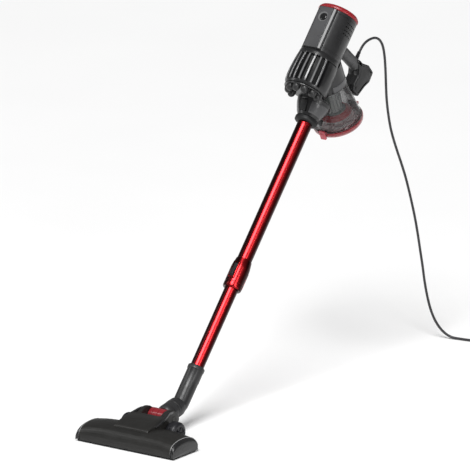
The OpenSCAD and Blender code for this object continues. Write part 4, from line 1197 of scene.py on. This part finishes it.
finish_mesh("motor_shell", housing_shape(), BARREL, DARK, "main_unit",
            ["motor_housing"])
finish_mesh("deck_plate", deck_shape(), BARREL, DARK, "main_unit", ["deck_panel"])
finish_mesh("deck_bright_edge", deck_highlight_strip(), BARREL, PAINTED_HIGHLIGHT, "main_unit")
finish_mesh("deck_highlight_inlay", deck_highlight_inlay_shape(), BARREL, PALE, "main_unit")
bezel = moved(lathe([(9.3, 50.7), (10, 51.4), (11.6, 52.5), (12.6, 52.5), (12.4, 51.6), (10.4, 50.4)], 96),
              turn(90, "X"))
finish_mesh("power_key_bezel", bezel, BARREL @ shift(0, 0, BUTTON_S), RIB, "main_unit")
finish_mesh("power_key", button_shape(), BARREL @ shift(0, 0, BUTTON_S), GLOSS_BLACK, "power_button",
            ["power_button"])
finish_mesh("top_lock_ring", lock_ring_shape(), BARREL, RED, "lock_ring", ["lock_ring"])
finish_mesh("exhaust_dome", cap_shape(), BARREL, GREY, "exhaust_cap", ["exhaust_cap"])

# ---------------------------------------------------------------- dust cup


def cup_shell_shape():
    wall = [(55.6, 8.6), (59.2, 8.4), (59.6, 9), (59.6, 11), (58.2, 12.6), (57.2, 15)]
    wall += [(58 - 16 * (z - 8.2) / 95.8 + 0.1 * math.sin(math.pi * z / 104), z)
             for z in range(18, 102, 6)]
    wall += [(42.2, 103), (42, 104.4), (42, 110), (41.6, 110.4), (39.8, 110.4), (39.5, 104.6), (39.6, 103)]
    wall += [(55.5 - 16 * (z - 8.2) / 95.8, z) for z in range(98, 12, -6)]
    hinge = along_x(lathe([(1.5, 0), (4.2, 0), (4.5, 0.4), (4.5, 15.6), (4.2, 16), (1.5, 16)], 40), -8)
    hinge.transform(shift(0, HINGE_Y, HINGE_Z))
    tab = block((-8, 8), (57.4, 62.4), (8.6, 12.2), 1.2)
    lugs = both(block((8.6, 11.2), (-65.4, -55.8), (10, 18), 1.1))
    level = [lathe([(radius, z - 0.35), (radius + 0.3, z), (radius, z + 0.35)], 96)
             for radius, z in ((51.2, 49.5), (51.9, 45.5))]
    return joined("cup", [lathe(wall, 160), hinge, tab, lugs, *level])


def cup_lid_shape():
    pan = lathe([(0, -9.6), (22, -9.3), (30, -9), (42, -8.2), (50, -7.2), (54.4, -5.8), (57.4, -4),
                 (59.4, -1.4), (60.2, 1.2), (60.6, 4), (60.6, 7.2), (60, 7.8), (58.4, 7.8), (58, 1.6),
                 (55.4, -2.4), (54.4, -2.4), (54.6, 8.4), (53.4, 12), (52.6, 12), (52.4, -3.6),
                 (50, -5), (42, -5.8), (30, -6.6), (0, -7)], 160)
    ribs = [moved(block((14, 50), (-0.8, 0.8), (-6.8, -4), 0.5), turn(60 * k + 30)) for k in range(6)]
    ring = lathe([(12, -7), (14, -7), (14, -3), (12, -3)], 64)
    knuckle = along_x(lathe([(1.6, 0), (4.1, 0), (4.5, 0.4), (4.5, 6.6), (4.1, 7), (1.6, 7)], 40), 8.4)
    knuckle.transform(shift(0, HINGE_Y, HINGE_Z))
    arm = block((8.4, 15.4), (57.6, 65), (2, 6), 1.1)
    return joined("lid", [pan, *ribs, ring, both(joined("arm", [knuckle, arm]))])


def lid_latch_shape():
    plate = block((-7.8, 7.8), (-66, -61.2), (-3, 18), 1.8)
    hook = block((-7, 7), (-66, -59.6), (-4.9, -2.2), 0.8)
    grips = [block((-5.6, 5.6), (-66.8, -65.4), (z, z + 1.2), 0.5) for z in (8, 10.6, 13.2)]
    axle = along_x(lathe([(0, 0), (1.5, 0), (1.5, 23), (0, 23)], 24), -11.5)
    axle.transform(shift(0, -62.5, 14))
    return joined("latch", [plate, hook, *grips, axle])


def core_shape():
    """The core: a cage with a screen between a foot cup and a top flange."""
    body = lathe([(16, 33), (20, 30.2), (24.6, 30.2), (26, 32), (26, 35), (24, 36.4), (21, 37.6), (20.6, 39),
                  (18, 39)], 96)
    flange = lathe([(18, 98), (24, 98), (24.6, 99), (24.9, 104), (27, 110.4), (27, 112.4), (18, 112.4)], 96)
    bars = []
    for k in range(16):
        bar = loft([[(r, -0.9, z), (r + 1.4, -0.7, z), (r + 1.4, 0.7, z), (r, 0.9, z)]
                    for r, z in ((19.4, 38.4), (21, 66), (23.2, 98.6))])
        bars.append(moved(bar, turn(22.5 * k)))
    return joined("core", [body, flange, *bars])


def screen_shape():
    return lathe([(18.6, 38), (19.8, 38), (21.3, 66), (23.5, 99), (22.2, 99), (20, 66)], 96)


def skirt_shape():
    skirt = lathe([(26.2, 31.6), (27.5, 31.6), (32, 28), (37, 24), (37.9, 24.3), (38.4, 25.4), (34, 29.6),
                   (29, 34.8), (26.2, 34.8)], 96)
    fins = [moved(loft([[(27.6, -0.6, z), (27.6 + reach, -0.5, z), (27.6 + reach, 0.5, z), (27.6, 0.6, z)]
                        for z, reach in ((30.4, 6), (33, 3.6), (36, 0.8))]), turn(30 * k)) for k in range(12)]
    return joined("skirt", [skirt, *fins])


finish_mesh("cup_clear_wall", cup_shell_shape(), CUP, CLEAR, "dust_cup", ["dust_cup"])
finish_mesh("cup_red_lid", cup_lid_shape(), CUP, RED_CLEAR, "cup_lid", ["cup_lid"])
finish_mesh("cup_lid_catch", lid_latch_shape(), CUP, LATCH, "lid_latch", ["lid_latch"])
finish_mesh("core_cage", core_shape(), CUP, CORE, "main_unit", ["filter_core"])
finish_mesh("core_screen", screen_shape(), CUP, SCREEN, "main_unit")
finish_mesh("core_red_skirt", skirt_shape(), CUP, RED, "main_unit", ["core_skirt"])
cup_key = [block((-6.4, 6.4), (44.8, 54.4), (16.2, 22.2), 1.5)]
cup_key += [block((x - 0.6, x + 0.6), (53.8, 54.9), (17.2, 21.2), 0.4) for x in (-4, -2, 0, 2, 4)]
finish_mesh("cup_release_key", joined("key", cup_key), WAND, BLACK, "cup_release",
            ["cup_release_button"])

# ---------------------------------------------------------------- handle

GRIP_S = 196
BLOCK_OUTLINE = [(70.8, 199, 1.5), (71, 206, 2), (91, 206.2, 6), (115, 214, 6), (141, 210, 6), (143, 184, 8),
                 (133, 165, 8), (124, 136, 4), (98, 137, 4), (92, 150, 6), (94, 176, 8), (88, 186, 6)]


def seamed_oval(wide, tall, count=64):
    """An oval section with a fine notch top and bottom, where the two halves meet."""
    out = []
    for a, b in oval(wide, tall, 2.2, count):
        notch = 0.965 if abs(a) < 0.02 * wide else 1
        out.append((a * notch, b * notch))
    return out


def grip_shape():
    swell = [(-8, 16.4), (-5.4, 16.4), (-4.8, 16.2), (2, 14.6), (4, 13.9), (5, 13.4), (14, 13.2),
             (26, 12.9), (38, 12.9), (50, 13.1), (62, 13.3), (74, 13.3), (86, 13.5), (92, 13.6),
             (93, 13.1), (96, 13.4), (104, 13.4)]
    line = [Vector((0, y, GRIP_S)) for y, _ in swell]
    return sweep(line, lambda k, t: seamed_oval(swell[k][1], swell[k][1]))


def strut_shape():
    line = smooth_curve([(0, -6, 170), (0, 10, 164.6), (0, 30, 157.6), (0, 48.2, 151.6), (0, 64, 147.4),
                         (0, 82, 143), (0, 100, 139.4)], 6)
    return sweep(line, lambda k, t: seamed_oval(8.2 - 0.9 * math.sin(math.pi * t), 7.6, 40))


def block_half_shape():
    outline = rounded(BLOCK_OUTLINE, 5)
    steps = [(3, 0.1), (0.8, 0.3), (0.2, 0.5), (0, 0.9), (0, 13.6), (0.5, 15.2), (1.6, 16.4),
             (3.2, 17), (5.2, 17), (5.6, 16.3), (6.2, 16.3), (6.6, 16.9), (9, 17.1)]
    return loft([[(x, y, z) for y, z in inset_outline(outline, inset)] for inset, x in steps])


def grip_sleeve():
    """A soft sleeve over the grip, with fine rings where the fingers close; its paler grey is a painted highlight
    on the grip.
    """
    profile = [(12.4, 0), (13.7, 0), (13.9, 1.2), (13.9, 8)]
    for k in range(8):
        profile += [(13.9, 14 + 5 * k), (13.5, 14.6 + 5 * k), (13.5, 15.4 + 5 * k), (13.9, 16 + 5 * k)]
    profile += [(14, 62), (14, 72), (13.8, 73.4), (12.4, 73.4)]
    return moved(lathe(profile, 96), shift(0, 12, GRIP_S) @ turn(-90, "X"))


halves = both(block_half_shape())
finish_mesh("handle_frame", joined("handle", [grip_shape(), strut_shape(), halves]), WAND, GREY,
            "main_unit", ["handle_left", "handle_right"])
finish_mesh("handle_grip_sleeve", grip_sleeve(), WAND, SLEEVE_HIGHLIGHT_GREY, "main_unit")

# ---------------------------------------------------------------- collar

PANEL_LOW, PANEL_HIGH = 107.6, 121.4


def saddle_panel_shape():
    """A pale curved plate on the collar's side."""
    profile = [(43.6, PANEL_LOW), (45.2, PANEL_LOW), (46, PANEL_LOW + 1), (46, PANEL_HIGH - 1),
               (45.2, PANEL_HIGH), (43.6, PANEL_HIGH)]
    plate = lathe(profile, 40, -36, 70)
    return cut(both(plate), moved(rod(52, -60, 300, 128), CUP.inverted() @ BARREL))


finish_mesh("collar_side_panels", saddle_panel_shape(), CUP, PALE, "main_unit",
            ["saddle_panels"])

# ---------------------------------------------------------------- finishes of the plain CAD nodes

FINISH = {
    "dark_shell": DARK, "grey_shell": GREY, "pale_panel": PALE, "black_plastic": BLACK,
    "red_tube": TUBE, "red_trim": RED, "brush_fibre": BRISTLE, "wheel_rubber": WHEEL,
    "soft_rubber": SOFT, "steel": STEEL, "clear_cup": CLEAR, "red_lid": RED_CLEAR,
    "latch_red": LATCH, "core_grey": CORE, "filter_felt": FELT, "cord_black": CORD,
}
for part in frame["record"]["subparts"]:
    node = frame["nodes"][part["node"]]
    node.data.materials.clear()
    node.data.materials.append(FINISH[part["material_slot"]])

# ---------------------------------------------------------------- room and light


def plain_floor():
    n = Nodes("floor")
    n.into("Base Color", n.colours(n.noise(1.5, 2.0),
                                   [(0.3, (0.86, 0.86, 0.86)), (0.7, (0.88, 0.88, 0.88))]))
    n.fix(roughness=0.9)
    bpy.ops.mesh.primitive_plane_add(size=14, location=(0, 0, 0))
    floor = bpy.context.object
    floor.name = "floor"
    floor.data.materials.append(n.material)


def soft_box(name, place, size, power, aim=(0, 0.4, 0.45)):
    light = bpy.data.lights.new(name, "AREA")
    light.shape = "RECTANGLE"
    light.size, light.size_y = size
    light.energy = power
    lamp = bpy.data.objects.new(name, light)
    bpy.context.scene.collection.objects.link(lamp)
    lamp.location = place
    lamp.rotation_euler = (Vector(place) - Vector(aim)).to_track_quat("Z", "Y").to_euler()


plain_floor()
world = bpy.data.worlds.new("studio")
world.use_nodes = True
world.node_tree.nodes["Background"].inputs["Color"].default_value = (1, 1, 1, 1)
world.node_tree.nodes["Background"].inputs["Strength"].default_value = 0.22
bpy.context.scene.world = world
sun_data = bpy.data.lights.new("broad_sun", "SUN")
sun_data.energy = 3.2
sun_data.angle = math.radians(28)
sun = bpy.data.objects.new("broad_sun", sun_data)
bpy.context.scene.collection.objects.link(sun)
sun.rotation_euler = Vector((0.2, -0.5, 0.84)).to_track_quat("Z", "Y").to_euler()
soft_box("left", (-1.9, -0.9, 1.5), (0.7, 1.6), 14)
soft_box("right", (2.2, -0.4, 1.2), (0.5, 1.8), 20)
bpy.context.scene.view_settings.view_transform = "Standard"

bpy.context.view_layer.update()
